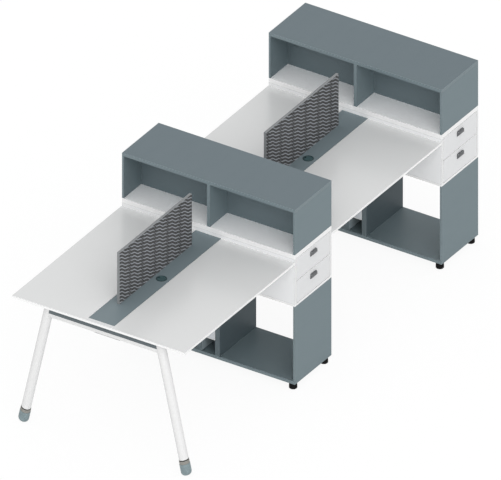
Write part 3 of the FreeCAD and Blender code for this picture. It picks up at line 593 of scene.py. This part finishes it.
for drawer, bay, side, level in DRAWERS:
    dress_boards(f"{drawer}_front", WHITE_FRONT_PAINTED_SHADE, *WHITE_EDGES, band_width=FRONT_BAND)
    dress_tray(f"{drawer}_tray", side, UNIT_STARTS[bay], TRAY_LOW[level])
for bay in BAYS:
    for side_name, _ in SIDES:
        dress_boards(f"{bay}_worktop_{side_name}", WHITE_DESK, *WHITE_EDGES)
    dress_boards(f"{bay}_case_top", WHITE_SHELF_PAINTED_LIGHT, *WHITE_EDGES)
    dress_boards(f"{bay}_raceway_cover", GREY_COVER_PAINTED_LIGHT, *GREY_EDGES)
    dress_boards(f"{bay}_hutch_top", GREY_TOP_PAINTED_SHADE, *GREY_EDGES)
    dress_boards(f"{bay}_hutch_sides", GREY_LAMINATE, *GREY_EDGES)
for node in ("raceway_end_cap", "case_floors", "case_dividers"):
    dress_boards(node, WHITE_LAMINATE, *WHITE_EDGES)
dress_boards("case_sides", WHITE_CASE_PAINTED_LIGHT, WHITE_CASE_BAND, WHITE_JOINT)
dress_boards("riser_panels", WHITE_RISER_PAINTED_SHADE, *WHITE_EDGES)
dress_boards("hutch_back_panels", GREY_BACK_PAINTED_SHADE, *GREY_EDGES)
for node in ("cabinet_ends", "cabinet_bases"):
    dress_boards(node, GREY_LAMINATE, *GREY_EDGES)


def dress_partitions():
    """The partitions in a darker laminate as painted shade, with painted light in a lighter laminate on the
    sides that face the cable chute.
    """
    boards = dress_boards("cabinet_partitions", GREY_DEEP_PAINTED_SHADE, GREY_DEEP_BAND_PAINTED_SHADE, GREY_JOINT).data
    boards.materials.append(GREY_CHUTE_PAINTED_LIGHT)
    for side in boards.polygons:
        if side.material_index == 0 and side.normal.x * side.center.x < 0:
            side.material_index = 3


dress_partitions()

dress_metal("leg_crossbar", GREY_COAT, STEEL_ROUNDING)
dress_metal("leg_tie", WHITE_COAT, STEEL_ROUNDING)
dress_metal("support_rails", GREY_COAT, STEEL_ROUNDING)
dress_metal("screen_studs", ZINC, ZINC_ROUNDING)
dress_metal("drawer_runners", ZINC, ZINC_ROUNDING)


# The privacy screens: boards in patterned cloth, with a plain strip round their edge. Each step outside the
# cloth's grid is an inset from the board's outline and a depth from its middle.

SCREEN_ROWS, SCREEN_COLUMNS = 120, 158
SCREEN_BORDER, SCREEN_SLOPE = 0.004, 0.014
CLOTH_DEPTH, CLOTH_SWELL, CLOTH_RIDGE = 0.0088, 0.0004, 0.0007
CLOTH_STEPS = ((0.0026, 0.0093), (0.0012, 0.0088))
STRIP_STEPS = ((0.0006, 0.0087), (0.0001, 0.0081), (0.0, 0.0072), (0.0, 0.0))


def screen_loop(shape, low, high, inset, x):
    """Points round the screen's outline, pulled in by an inset, in one upright plane."""
    corners = [(low.y, low.z), (high.y, low.z), (high.y, high.z), (low.y, high.z)]
    counts = (SCREEN_COLUMNS, SCREEN_ROWS) * 2
    middle = ((low.y + high.y) / 2, (low.z + high.z) / 2)
    scale = [1 - inset / (high[axis] - middle[axis - 1]) for axis in (1, 2)]
    points = []
    for index, count in enumerate(counts):
        start, end = corners[index], corners[(index + 1) % 4]
        for step in range(count):
            share = step / count
            place = [start[axis] + (end[axis] - start[axis]) * share for axis in (0, 1)]
            y, z = [middle[axis] + (place[axis] - middle[axis]) * scale[axis] for axis in (0, 1)]
            points.append(shape.verts.new((x, y, z)))
    return points


def screen_face(shape, low, high, side):
    """One cloth side: a quilted grid that the waves of the weave press in, and its border loop."""
    middle_x = (low.x + high.x) / 2
    grid = []
    for row in range(SCREEN_ROWS + 1):
        z = low.z + SCREEN_BORDER + (high.z - low.z - 2 * SCREEN_BORDER) * row / SCREEN_ROWS
        line = []
        for column in range(SCREEN_COLUMNS + 1):
            y = low.y + SCREEN_BORDER + (high.y - low.y - 2 * SCREEN_BORDER) * column / SCREEN_COLUMNS
            rim = min(y - low.y, high.y - y, z - low.z, high.z - z) - SCREEN_BORDER
            fill = min(rim / SCREEN_SLOPE, 1)
            ridge = 0.5 + 0.5 * math.cos(2 * math.pi * wave_phase(y, z))
            depth = CLOTH_DEPTH + CLOTH_SWELL * fill + CLOTH_RIDGE * ridge * fill
            line.append(shape.verts.new((middle_x + side * depth, y, z)))
        grid.append(line)
    for low_line, high_line in zip(grid, grid[1:]):
        for column in range(SCREEN_COLUMNS):
            shape.faces.new((low_line[column], low_line[column + 1], high_line[column + 1], high_line[column]))
    border = grid[0][:-1] + [line[-1] for line in grid[:-1]]
    return border + grid[-1][:0:-1] + [line[0] for line in grid[:0:-1]]


def dress_screen(bay):
    """One privacy screen."""
    node = f"{bay}_screen_panel"
    low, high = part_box(node)
    shape = bmesh.new()
    borders = {side: screen_face(shape, low, high, side) for side in (-1, 1)}
    middle_x = (low.x + high.x) / 2

    def loops(side, steps):
        return [screen_loop(shape, low, high, inset, middle_x + side * depth) for inset, depth in steps]

    left, right = loops(-1, CLOTH_STEPS), loops(1, CLOTH_STEPS)
    join_loops(shape, [borders[-1]] + left, 0)
    join_loops(shape, [borders[1]] + right, 0)
    strip = loops(-1, STRIP_STEPS) + loops(1, STRIP_STEPS[-2::-1])
    join_loops(shape, [left[-1]] + strip + [right[-1]], 1)
    bmesh.ops.recalc_face_normals(shape, faces=shape.faces)
    soften(shape, 50)
    piece(f"{bay}_screen", shape, (SCREEN_CLOTH, SCREEN_EDGE), "root", "screen_fabric", node)


for bay in BAYS:
    dress_screen(bay)


# The drawer pulls: a cast hood that is closed above and open below. Its lower rim rises towards the front,
# up to PULL_LIP, and its plan is a half oval as square as PULL_BOXY says.

PULL_HALF, PULL_REACH, PULL_HEIGHT = 0.032, 0.017, 0.029
PULL_LIP, PULL_LIP_START = 0.015, 0.002
PULL_DOME, PULL_WALL = 0.007, 0.0026
PULL_STEPS, PULL_BOXY = 40, 3.2
DOME_STEPS = 5
DRAWER_FACE = 0.6


def hood_layer(half, reach, top, drop):
    """One level of the hood: its plan from the near end round to the far end, and its height there."""
    points = []
    for step in range(PULL_STEPS + 1):
        angle = math.pi * step / PULL_STEPS
        swing = abs(math.cos(angle)) ** (2 / PULL_BOXY)
        y = -half * math.copysign(swing, math.cos(angle))
        x = reach * math.sin(angle) ** (2 / PULL_BOXY) if 0 < step < PULL_STEPS else 0.0
        low = PULL_LIP * max(x - PULL_LIP_START, 0) / reach
        points.append((x, y, top if drop == 0 else top + (low - top) * drop))
    return points


def hood_shell(shape, wall, outwards):
    """The layers of one skin of the hood, a wall inside its outer face, from the lower rim to the flat top."""
    half, reach, height, dome = [size - wall for size in (PULL_HALF, PULL_REACH, PULL_HEIGHT, PULL_DOME)]
    layers = [hood_layer(half, reach, height - dome, drop) for drop in (1, 0.66, 0.33, 0)]
    for step in range(1, DOME_STEPS + 1):
        angle = math.pi / 2 * step / DOME_STEPS
        inset = dome * (1 - math.cos(angle))
        rise = height - dome + dome * math.sin(angle)
        layers.append(hood_layer(half - inset, reach - inset, rise, 0))
    return [[shape.verts.new((outwards * x, y, z)) for x, y, z in layer] for layer in layers]


def pull_hood(shape, place, outwards):
    """A hood with its back on the drawer front at a place, reaching outwards along X."""
    outer, inner = hood_shell(shape, 0, outwards), hood_shell(shape, PULL_WALL, outwards)
    for skin in (outer, inner):
        for first, second in zip(skin, skin[1:]):
            for index in range(PULL_STEPS):
                shape.faces.new((first[index], first[index + 1], second[index + 1], second[index]))
        shape.faces.new(skin[-1])
    for index in range(PULL_STEPS):
        shape.faces.new((outer[0][index], outer[0][index + 1], inner[0][index + 1], inner[0][index]))
    for end in (0, -1):
        for level in range(len(outer) - 1):
            shape.faces.new((outer[level][end], outer[level + 1][end],
                             inner[level + 1][end], inner[level][end]))
    shape.faces.new((outer[-1][0], outer[-1][-1], inner[-1][-1], inner[-1][0]))
    bmesh.ops.recalc_face_normals(shape, faces=shape.faces)
    bmesh.ops.translate(shape, verts=shape.verts, vec=place)


def dress_pull(drawer, side):
    """The pull of one drawer."""
    node = f"{drawer}_handle"
    low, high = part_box(node)
    shape = bmesh.new()
    pull_hood(shape, Vector((side * DRAWER_FACE, (low.y + high.y) / 2, high.z - PULL_HEIGHT)), side)
    soften(shape, 40)
    piece(f"{drawer}_pull", shape, (PULL,), body_of(node), "handle_metal", node)


for drawer, _, side, _ in DRAWERS:
    dress_pull(drawer, side)


# Round pieces: grommets, legs and glides.

def eased(profile, radius, steps=3):
    """A closed half section with its corners rounded, but for those on the axis."""
    points = []
    for index, (r, h) in enumerate(profile):
        before, after = Vector(profile[index - 1]), Vector(profile[(index + 1) % len(profile)])
        corner = Vector((r, h))
        if r < 1e-6:
            points.append((r, h))
            continue
        cut = [min(radius, (other - corner).length * 0.45) for other in (before, after)]
        start = corner + (before - corner).normalized() * cut[0]
        end = corner + (after - corner).normalized() * cut[1]
        for step in range(steps + 1):
            share = step / steps
            bend = start * (1 - share) ** 2 + corner * 2 * share * (1 - share) + end * share ** 2
            points.append((bend.x, bend.y))
    return points


def turned(shape, profile, centre, segments, axis=Vector((0, 0, 1)), material=0):
    """Turn a closed half section of radii and heights about an axis through a centre."""
    stand = axis.to_track_quat("Z", "X").to_matrix()
    rings = []
    for radius, height in profile:
        count = segments if radius > 1e-6 else 1
        ring = [stand @ Vector((radius * math.cos(angle), radius * math.sin(angle), height))
                for angle in (2 * math.pi * step / segments for step in range(count))]
        rings.append([shape.verts.new(Vector(centre) + point) for point in ring])
    faces = []
    for first, second in zip(rings, rings[1:] + rings[:1]):
        if len(first) == len(second) == 1:
            continue
        for step in range(segments):
            around = [(first, step), (first, step + 1), (second, step + 1), (second, step)]
            corners = list(dict.fromkeys(ring[place % len(ring)] for ring, place in around))
            faces.append(shape.faces.new(corners))
            faces[-1].material_index = material
    bmesh.ops.recalc_face_normals(shape, faces=faces)
    return rings


GROMMETS = {"near": Vector((0.037, -0.969, 0.75)), "far": Vector((0.037, 0.631, 0.75))}
RING_SECTION = [(0.027, -0.025), (0.0297, -0.025), (0.0297, 0), (0.033, 0), (0.033, 0.0012), (0.0318, 0.0025),
                (0.027, 0.0025), (0.027, -0.0008), (0.024, -0.0008), (0.024, -0.0038), (0.027, -0.0038)]
RING_ROUNDING = 0.0006
CAP_RADIUS = 0.0267
NOTCH_HALF, NOTCH_MIDDLE = 0.008, -0.0217
LID_SECTION = [(0.0004, -0.0005), (0, -0.0002), (0, 0.0019), (0.0002, 0.0023), (0.0006, 0.0025),
               (0.0016, 0.0025), (0.0019, 0.0023), (0.0021, 0.0017), (0.0034, 0.0016), (0.0038, 0.0018),
               (0.0044, 0.0018)]


def lid_plan(inset):
    """The outline of a lid with its cord notch, pulled in by an inset."""
    radius, half = CAP_RADIUS - inset, NOTCH_HALF + inset
    mouth = math.pi - math.asin(half / radius)
    plan = [(radius * math.cos(angle), radius * math.sin(angle))
            for angle in (-mouth + 2 * mouth * step / 84 for step in range(85))]
    return plan + [(NOTCH_MIDDLE + half * math.sin(angle), half * math.cos(angle))
                   for angle in (math.pi * step / 20 for step in range(21))]


def dress_grommets():
    """The two rings in their covers, and the turning caps with their cord notches."""
    shape = bmesh.new()
    for centre in GROMMETS.values():
        turned(shape, eased(RING_SECTION, RING_ROUNDING), centre, 96)
    soften(shape, 40)
    piece("grommet_rings_finished", shape, (GROMMET,), "root", "grommet_plastic", "grommet_rings")
    for bay, centre in GROMMETS.items():
        shape = bmesh.new()
        rings = [[shape.verts.new(centre + Vector((x, y, z))) for x, y in lid_plan(inset)]
                 for inset, z in LID_SECTION]
        close_loops(shape, rings)
        soften(shape, 30)
        piece(f"{bay}_grommet_lid", shape, (GROMMET_LID,), f"{bay}_grommet_cap", "grommet_plastic",
              f"{bay}_grommet_cap")


dress_grommets()

# The legs' sections are of radii and of distances up a slanting axis. A tube's head is level at UNDER_TOP.

LEG_FOOT_X, LEG_HEAD_X, LEG_Y = 0.569, 0.382, -1.527
UNDER_TOP = 0.725
FOOT_SECTION = [(0, 0), (0.0105, 0)]
FOOT_SECTION += [(0.0105 + 0.022 * math.sin(angle), 0.022 - 0.022 * math.cos(angle))
                 for angle in (math.pi / 2 * step / 12 for step in range(1, 13))]
FOOT_SECTION += [(0.0325, 0.044), (0.0319, 0.0444), (0.0319, 0.0458), (0.0325, 0.0462), (0.0325, 0.064),
                 (0.0319, 0.0647), (0.0315, 0.065), (0, 0.065)]
COLLAR_SECTION = [(0, 0.065), (0.0302, 0.065), (0.0308, 0.0654), (0.031, 0.0662), (0.031, 0.0828),
                  (0.0306, 0.0836), (0.03, 0.0839), (0.0267, 0.0839), (0.0267, 0.099), (0.0262, 0.1),
                  (0, 0.1)]
# Painted shade: a black ring set in the groove at the top of each collar, for the groove's dark shade line.
COLLAR_GROOVE_SHADE_SECTION = [(0.026, 0.0839), (0.0296, 0.0839), (0.03, 0.0843), (0.03, 0.0886), (0.0296, 0.089),
                (0.026, 0.089)]
TUBE_SECTION = [(0.027, 0.7), (0.027, 0.089), (0.029, 0.089), (0.029, 0.7)]


def dress_legs():
    """The two splayed legs, each with its foot cap and collar, turned about the leg's axis."""
    tubes, collars, feet = bmesh.new(), bmesh.new(), bmesh.new()
    for _, side in SIDES:
        foot = Vector((side * LEG_FOOT_X, LEG_Y, 0))
        axis = (Vector((side * LEG_HEAD_X, LEG_Y, UNDER_TOP)) - foot).normalized()
        turned(feet, FOOT_SECTION, foot, 80, axis)
        turned(collars, COLLAR_SECTION, foot, 80, axis)
        # The groove's painted shade, in black plastic.
        turned(collars, COLLAR_GROOVE_SHADE_SECTION, foot, 80, axis, material=1)
        wall = turned(tubes, TUBE_SECTION, foot, 80, axis)
        for ring in (wall[0], wall[3]):
            for vert in ring:
                vert.co += axis * (UNDER_TOP - vert.co.z) / axis.z
    cut = bmesh.ops.bisect_plane(feet, geom=feet.verts[:] + feet.edges[:] + feet.faces[:], dist=1e-7,
                                 plane_co=(0, 0, 0), plane_no=(0, 0, -1), clear_outer=True)["geom_cut"]
    bmesh.ops.holes_fill(feet, edges=[part for part in cut if isinstance(part, bmesh.types.BMEdge)])
    for name, shape, finishes, slot in (("leg_tubes", tubes, (WHITE_COAT,), "white_steel"),
                                        ("leg_collars", collars, (COLLAR, BLACK), "collar_plastic"),
                                        ("leg_feet", feet, (FOOT,), "foot_plastic")):
        soften(shape, 40)
        piece(f"{name}_turned", shape, finishes, "root", slot, name)


dress_legs()

GLIDE_SECTION = [(0, 0), (0.0225, 0), (0.025, 0.0025), (0.025, 0.0105), (0.0244, 0.012), (0.0226, 0.033),
                 (0.0221, 0.0345), (0.0221, 0.0362), (0.0213, 0.037), (0.005, 0.037), (0.005, 0.0505),
                 (0.0042, 0.051), (0, 0.051)]
GLIDE_PLACES = [Vector((x, start + y, 0))
                for start in UNIT_STARTS.values() for x in (-0.568, 0.568) for y in (0.032, 0.368)]


def dress_glides():
    """The eight levelling glides."""
    shape = bmesh.new()
    for place in GLIDE_PLACES:
        turned(shape, GLIDE_SECTION, place, 64)
    soften(shape, 35)
    piece("levelling_glides_turned", shape, (BLACK,), "root", "black_plastic", "levelling_glides")


dress_glides()


# Small things that repeat, set on points by Geometry Nodes: screws, ribs and the slots of the cable trays.

def repeat_tree():
    """The node tree: a pattern at each point, turned as the point says, then joined and painted."""
    tree = bpy.data.node_groups.new("set_on_points", "GeometryNodeTree")
    for name, kind in (("Places", "Geometry"), ("Pattern", "Object"), ("Size", "Vector"), ("Spin", "Float"),
                       ("Seed", "Int"), ("Weld", "Float"), ("Finish", "Material")):
        tree.interface.new_socket(name=name, in_out="INPUT", socket_type=f"NodeSocket{kind}")
    tree.interface.new_socket(name="Pieces", in_out="OUTPUT", socket_type="NodeSocketGeometry")
    given = tree.nodes.new("NodeGroupInput").outputs

    def step(kind, inputs, **settings):
        return add_node(tree, kind, inputs, **settings).outputs

    pattern = step("GeometryNodeObjectInfo", {"Object": given["Pattern"], "As Instance": True})["Geometry"]
    facing = step("GeometryNodeInputNamedAttribute", {"Name": "turn"}, data_type="FLOAT_VECTOR")["Attribute"]
    facing = step("FunctionNodeEulerToRotation", {0: facing})[0]
    placed = step("GeometryNodeInstanceOnPoints", {"Points": given["Places"], "Instance": pattern,
                                                   "Rotation": facing, "Scale": given["Size"]})[0]
    chance = step("FunctionNodeRandomValue", {2: 0.0, 3: given["Spin"], "Seed": given["Seed"]},
                  data_type="FLOAT")[1]
    about = step("ShaderNodeCombineXYZ", {"Z": chance})[0]
    about = step("FunctionNodeEulerToRotation", {0: about})[0]
    spun = step("GeometryNodeRotateInstances", {"Instances": placed, "Rotation": about})[0]
    real = step("GeometryNodeRealizeInstances", {"Geometry": spun})[0]
    joined = step("GeometryNodeMergeByDistance", {"Geometry": real, "Distance": given["Weld"]})[0]
    painted = step("GeometryNodeSetMaterial", {"Geometry": joined, "Material": given["Finish"]})[0]
    tree.links.new(painted, tree.nodes.new("NodeGroupOutput").inputs["Pieces"])
    return tree


REPEAT = repeat_tree()


def set_on_points(name, pattern, places, finish, size=(1, 1, 1), spin=0.0, weld=0.0):
    """A pattern repeated at each place, its Z turned to the place's direction if it has one."""
    points = bpy.data.meshes.new(name)
    points.from_pydata([place for place, _ in places], [], [])
    turns = points.attributes.new("turn", "FLOAT_VECTOR", "POINT")
    for item, (_, direction) in zip(turns.data, places):
        item.vector = Vector(direction).to_track_quat("Z", "Y").to_euler() if direction else (0, 0, 0)
    helpers = [add_object(mesh.name, mesh) for mesh in (points, finished_mesh(f"{name}_pattern", pattern))]
    modifier = helpers[0].modifiers.new("repeat", "NODES")
    modifier.node_group = REPEAT
    settings = {"Pattern": helpers[1], "Size": size, "Spin": spin, "Seed": 7, "Weld": weld, "Finish": finish}
    for socket in REPEAT.interface.items_tree:
        if socket.name in settings:
            modifier[socket.identifier] = settings[socket.name]
    evaluated = helpers[0].evaluated_get(bpy.context.evaluated_depsgraph_get())
    made = bpy.data.meshes.new_from_object(evaluated)
    helpers[0].modifiers.remove(modifier)
    for helper in helpers:
        bpy.data.objects.remove(helper)
    shape = bmesh.new()
    shape.from_mesh(made)
    bpy.data.meshes.remove(made)
    return shape


# Screws. The head's levels are of radii and shares of its height. Those of the runners and slides are an
# inset from the unit's end, a rise from the tray's underside, distances from the middle, and a direction.
# Those of the fronts are a distance from the middle, distances along the unit, and rises.

PAN_HEAD, FLAT_HEAD = 0.0023, 0.0005
HEAD_LEVELS = [(0.004, 0.25), (0.0038, 0.5), (0.0031, 0.86), (0.0024, 1.0)]
HEAD_SUNK = 0.0002
CROSS_ARM = [(0.00035, -0.00035), (0.001, -0.00035), (0.0017, -0.0003), (0.0018, 0), (0.0017, 0.0003),
             (0.001, 0.00035)]
CROSS_TAPER, CROSS_FLOOR = 0.86, 0.25
SCREW_SPIN = 2 * math.pi
DESK_RUNS = {"near": (-1.502, -0.4), "far": (0.0, 1.2)}
UNDER_SCREWS = ((0.099, 0.7235), (0.315, 0.675))
UNDER_MARGIN = 0.05
RUNNER_SCREWS = (0.0195, 0.047, (0.16, 0.33, 0.55), -1)
SLIDE_SCREWS = (0.0295, 0.042, (0.17, 0.36, 0.54), 1)
FRONT_SCREWS = (0.57, (0.08, 0.32), (0.03, 0.066))


def screw_pattern(rise):
    """A screw head of that height with a cross recess, on the plane where Z is nought."""
    shape = bmesh.new()
    arm, cross = CROSS_ARM, []
    for _ in range(4):
        cross += arm
        arm = [(-y, x) for x, y in arm]
    around = [math.radians(15 * step - 45) for step in range(24)]
    levels = [(HEAD_LEVELS[0][0], -HEAD_SUNK / rise)] + HEAD_LEVELS
    rings = [[(radius * math.cos(angle), radius * math.sin(angle), rise * level) for angle in around]
             for radius, level in levels]
    rings += [[(x, y, rise) for x, y in cross],
              [(x * CROSS_TAPER, y * CROSS_TAPER, rise * CROSS_FLOOR) for x, y in cross]]
    close_loops(shape, [[shape.verts.new(point) for point in ring] for ring in rings])
    soften(shape, 45)
    return shape


def add_screws(name, rise, places, body):
    """Screws with heads of that height, as one piece."""
    shape = set_on_points(name, screw_pattern(rise), places, ZINC, spin=SCREW_SPIN)
    piece(name, shape, (ZINC,), body, SLOTS["drawer_runners"])


def face_places(bay, side, low, inset, rise, alongs, outwards):
    """Places on both upright faces beside a drawer, with their directions."""
    start = UNIT_STARTS[bay]
    return [(Vector((side * x, y, low + rise)), (0, turn * outwards, 0))
            for y, turn in ((start + inset, -1), (start + UNIT_DEPTH - inset, 1)) for x in alongs]


def dress_screws():
    """The screws of drawers, runners, cable trays and rails."""
    under, runners = [], []
    front, alongs, rises = FRONT_SCREWS
    for start, end in DESK_RUNS.values():
        steps = [start + UNDER_MARGIN + (end - start - 2 * UNDER_MARGIN) * step / 5 for step in range(6)]
        under += [(Vector((side * x, y, z)), (0, 0, -1))
                  for _, side in SIDES for x, z in UNDER_SCREWS for y in steps]
    for drawer, bay, side, level in DRAWERS:
        low, body = TRAY_LOW[level], body_of(f"{drawer}_tray")
        runners += face_places(bay, side, low, *RUNNER_SCREWS)
        fronts = [(Vector((side * front, UNIT_STARTS[bay] + y, low + z)), (-side, 0, 0))
                  for y in alongs for z in rises]
        add_screws(f"{drawer}_front_screws", PAN_HEAD, fronts, body)
        add_screws(f"{drawer}_slide_screws", FLAT_HEAD, face_places(bay, side, low, *SLIDE_SCREWS), body)
    add_screws("under_screws", PAN_HEAD, under, "root")
    add_screws("runner_screws", FLAT_HEAD, runners, "root")


RIBS, RIB_ROUNDING = 28, 0.0003
RIB_HALF = 0.0007
RIB_ENDS = ((0.0125, 0.0215, 0.0249, 0.0006), (0.032, 0.02, 0.0234, 0.0005))


def dress_ribs():
    """The grip ribs round the levelling glides."""
    shape = bmesh.new()
    loops = [((-RIB_HALF, z, inner), (RIB_HALF, z, inner), (half, z, outer), (-half, z, outer))
             for z, inner, outer, half in RIB_ENDS]
    close_loops(shape, [[shape.verts.new(point) for point in loop] for loop in loops])
    round_edges(shape, RIB_ROUNDING, segments=1)
    turns = [2 * math.pi * (step + 0.5) / RIBS for step in range(RIBS)]
    places = [(place, (math.cos(turn), math.sin(turn), 0)) for place in GLIDE_PLACES for turn in turns]
    piece("glide_ribs", set_on_points("glide_ribs", shape, places, BLACK), (BLACK,), "root", "black_plastic")


# The cable trays: a floor of slotted cells, welded where they meet, and a folded wall along each side.

CELL_ACROSS, CELL_ALONG, CELLS_WIDE = 0.0295, 0.05, 6
CELL_WELD = 0.0001
SLOT_RADIUS, SLOT_HALF = 0.004, 0.011
SHEET, TROUGH_LOW = 0.0015, 0.635
WALL_SECTION = [(0.0885, 0.6365), (0.0885, 0.7222), (0.088, 0.7232), (0.087, 0.7235), (0.0725, 0.7235),
                (0.072, 0.724), (0.072, 0.7245), (0.0725, 0.725), (0.1075, 0.725), (0.108, 0.7245),
                (0.108, 0.724), (0.1075, 0.7235), (0.0915, 0.7235), (0.0905, 0.7232), (0.09, 0.7222),
                (0.09, 0.6365), (0.0898, 0.63575), (0.08925, 0.6352), (0.0885, 0.635)]


def slot_cell():
    """One cell of a slotted floor, open at its outer rim so that its neighbours join on."""
    def bend(degrees):
        angle = math.radians(degrees)
        return SLOT_RADIUS * math.cos(angle), math.copysign(SLOT_HALF, angle) + SLOT_RADIUS * math.sin(angle)

    hole = [bend(-45), bend(-22.5)] + [(SLOT_RADIUS, SLOT_HALF * share) for share in (-1, -0.33, 0.33, 1)]
    hole += [bend(22.5)] + [bend(angle) for angle in (45, 63, 81, 99, 117)]
    half_x, half_y = CELL_ACROSS / 2, CELL_ALONG / 2
    rim = [(half_x, half_y * (2 * step / 7 - 1)) for step in range(7)]
    rim += [(half_x * (1 - 2 * step / 5), half_y) for step in range(5)]
    shape = bmesh.new()
    loops = [[(x, y, z) for x, y in plan + [(-x, -y) for x, y in plan]]
             for plan, z in ((rim, 0), (hole, 0), (hole, SHEET), (rim, SHEET))]
    join_loops(shape, [[shape.verts.new(point) for point in loop] for loop in loops], 0)
    return shape


def dress_cable_trays():
    """The folded troughs under the covers, with slots for cable ties in their floors."""
    shape = bmesh.new()
    for bay in BAYS:
        start, end = DESK_RUNS[bay]
        count = round((end - start) / CELL_ALONG)
        pitch = (end - start) / count
        columns = [CELL_ACROSS * (column - (CELLS_WIDE - 1) / 2) for column in range(CELLS_WIDE)]
        places = [(Vector((x, start + pitch * (row + 0.5), TROUGH_LOW)), None)
                  for x in columns for row in range(count)]
        floor = set_on_points(f"{bay}_tray_floor", slot_cell(), places, ZINC,
                              size=(1, pitch / CELL_ALONG, 1), weld=CELL_WELD)
        middle = TROUGH_LOW + SHEET / 2
        under = {(round(vert.co.x, 5), round(vert.co.y, 5)): vert
                 for vert in floor.verts if vert.co.z < middle}
        for edge in [edge for edge in floor.edges if edge.is_boundary]:
            if edge.verts[0].co.z > middle:
                ends = [under[(round(vert.co.x, 5), round(vert.co.y, 5))] for vert in edge.verts]
                floor.faces.new((edge.verts[0], edge.verts[1], ends[1], ends[0]))
        bmesh.ops.recalc_face_normals(floor, faces=floor.faces)
        absorb(shape, floor)
        for side in (-1, 1):
            swept(shape, [(side * x, z) for x, z in WALL_SECTION], start, end)
    soften(shape, 35)
    piece("cable_trays_slotted", shape, (ZINC,), "root", SLOTS["cable_trays"], "cable_trays")


dress_screws()
dress_ribs()
dress_cable_trays()


# Floor, light and background.

WHITE = (1, 1, 1, 1)
FLOOR_HALF, FLOOR_LEVEL = 60, -0.0002
FLOOR_GLOW, FLOOR_SHARE = 1.02, 0.9
LIT_STRENGTH, SEEN_STRENGTH = 0.76, 1.0
SUN_SPREAD = math.radians(50)
SUNS = (("key", 1.1, (0.62, -0.66, 0.45)), ("fill", 0.35, (0.15, -0.85, 0.5)))


def seen_directly(tree):
    """One for rays that come from the camera, a reflection or a see-through piece, and nought for the rest."""
    rays = add_node(tree, "ShaderNodeLightPath").outputs
    share = rays["Is Camera Ray"]
    for kind in ("Is Glossy Ray", "Is Transmission Ray"):
        share = add_node(tree, "ShaderNodeMath", {0: share, 1: rays[kind]}, operation="MAXIMUM").outputs[0]
    return share


def make_floor():
    """A plain white floor that keeps a soft shadow."""
    shape = bmesh.new()
    corners = [shape.verts.new((x * FLOOR_HALF, y * FLOOR_HALF, FLOOR_LEVEL))
               for x, y in ((-1, -1), (1, -1), (1, 1), (-1, 1))]
    shape.faces.new(corners)
    floor = add_object("floor", finished_mesh("floor", shape))
    finish = Finish("floor_white", Base_Color=shade(243, 243, 243), Roughness=0.9, Specular_IOR_Level=0.0)
    share = finish.math("MULTIPLY", seen_directly(finish.tree), FLOOR_SHARE)
    glow = finish.add("ShaderNodeEmission", {"Color": WHITE, "Strength": FLOOR_GLOW}).outputs[0]
    mixed = finish.add("ShaderNodeMixShader", {0: share, 1: finish.shader.outputs[0], 2: glow}).outputs[0]
    finish.tree.links.new(mixed, finish.tree.nodes["Material Output"].inputs["Surface"])
    floor.data.materials.append(finish.material)


def light_scene():
    """An even white surround, a broad soft lamp from the front right, and a weak one from the front."""
    world = bpy.data.worlds.new("surround")
    bpy.context.scene.world = world
    world.use_nodes = True
    tree = world.node_tree
    tree.nodes.clear()
    lit, seen = [add_node(tree, "ShaderNodeBackground", {"Color": WHITE, "Strength": strength}).outputs[0]
                 for strength in (LIT_STRENGTH, SEEN_STRENGTH)]
    mixed = add_node(tree, "ShaderNodeMixShader", {0: seen_directly(tree), 1: lit, 2: seen}).outputs[0]
    add_node(tree, "ShaderNodeOutputWorld", {"Surface": mixed})
    for name, energy, direction in SUNS:
        lamp = bpy.data.lights.new(name, "SUN")
        lamp.energy, lamp.angle = energy, SUN_SPREAD
        add_object(name, lamp).rotation_euler = Vector(direction).to_track_quat("Z", "Y").to_euler()


make_floor()
light_scene()
bpy.context.scene.view_settings.view_transform = "Standard"
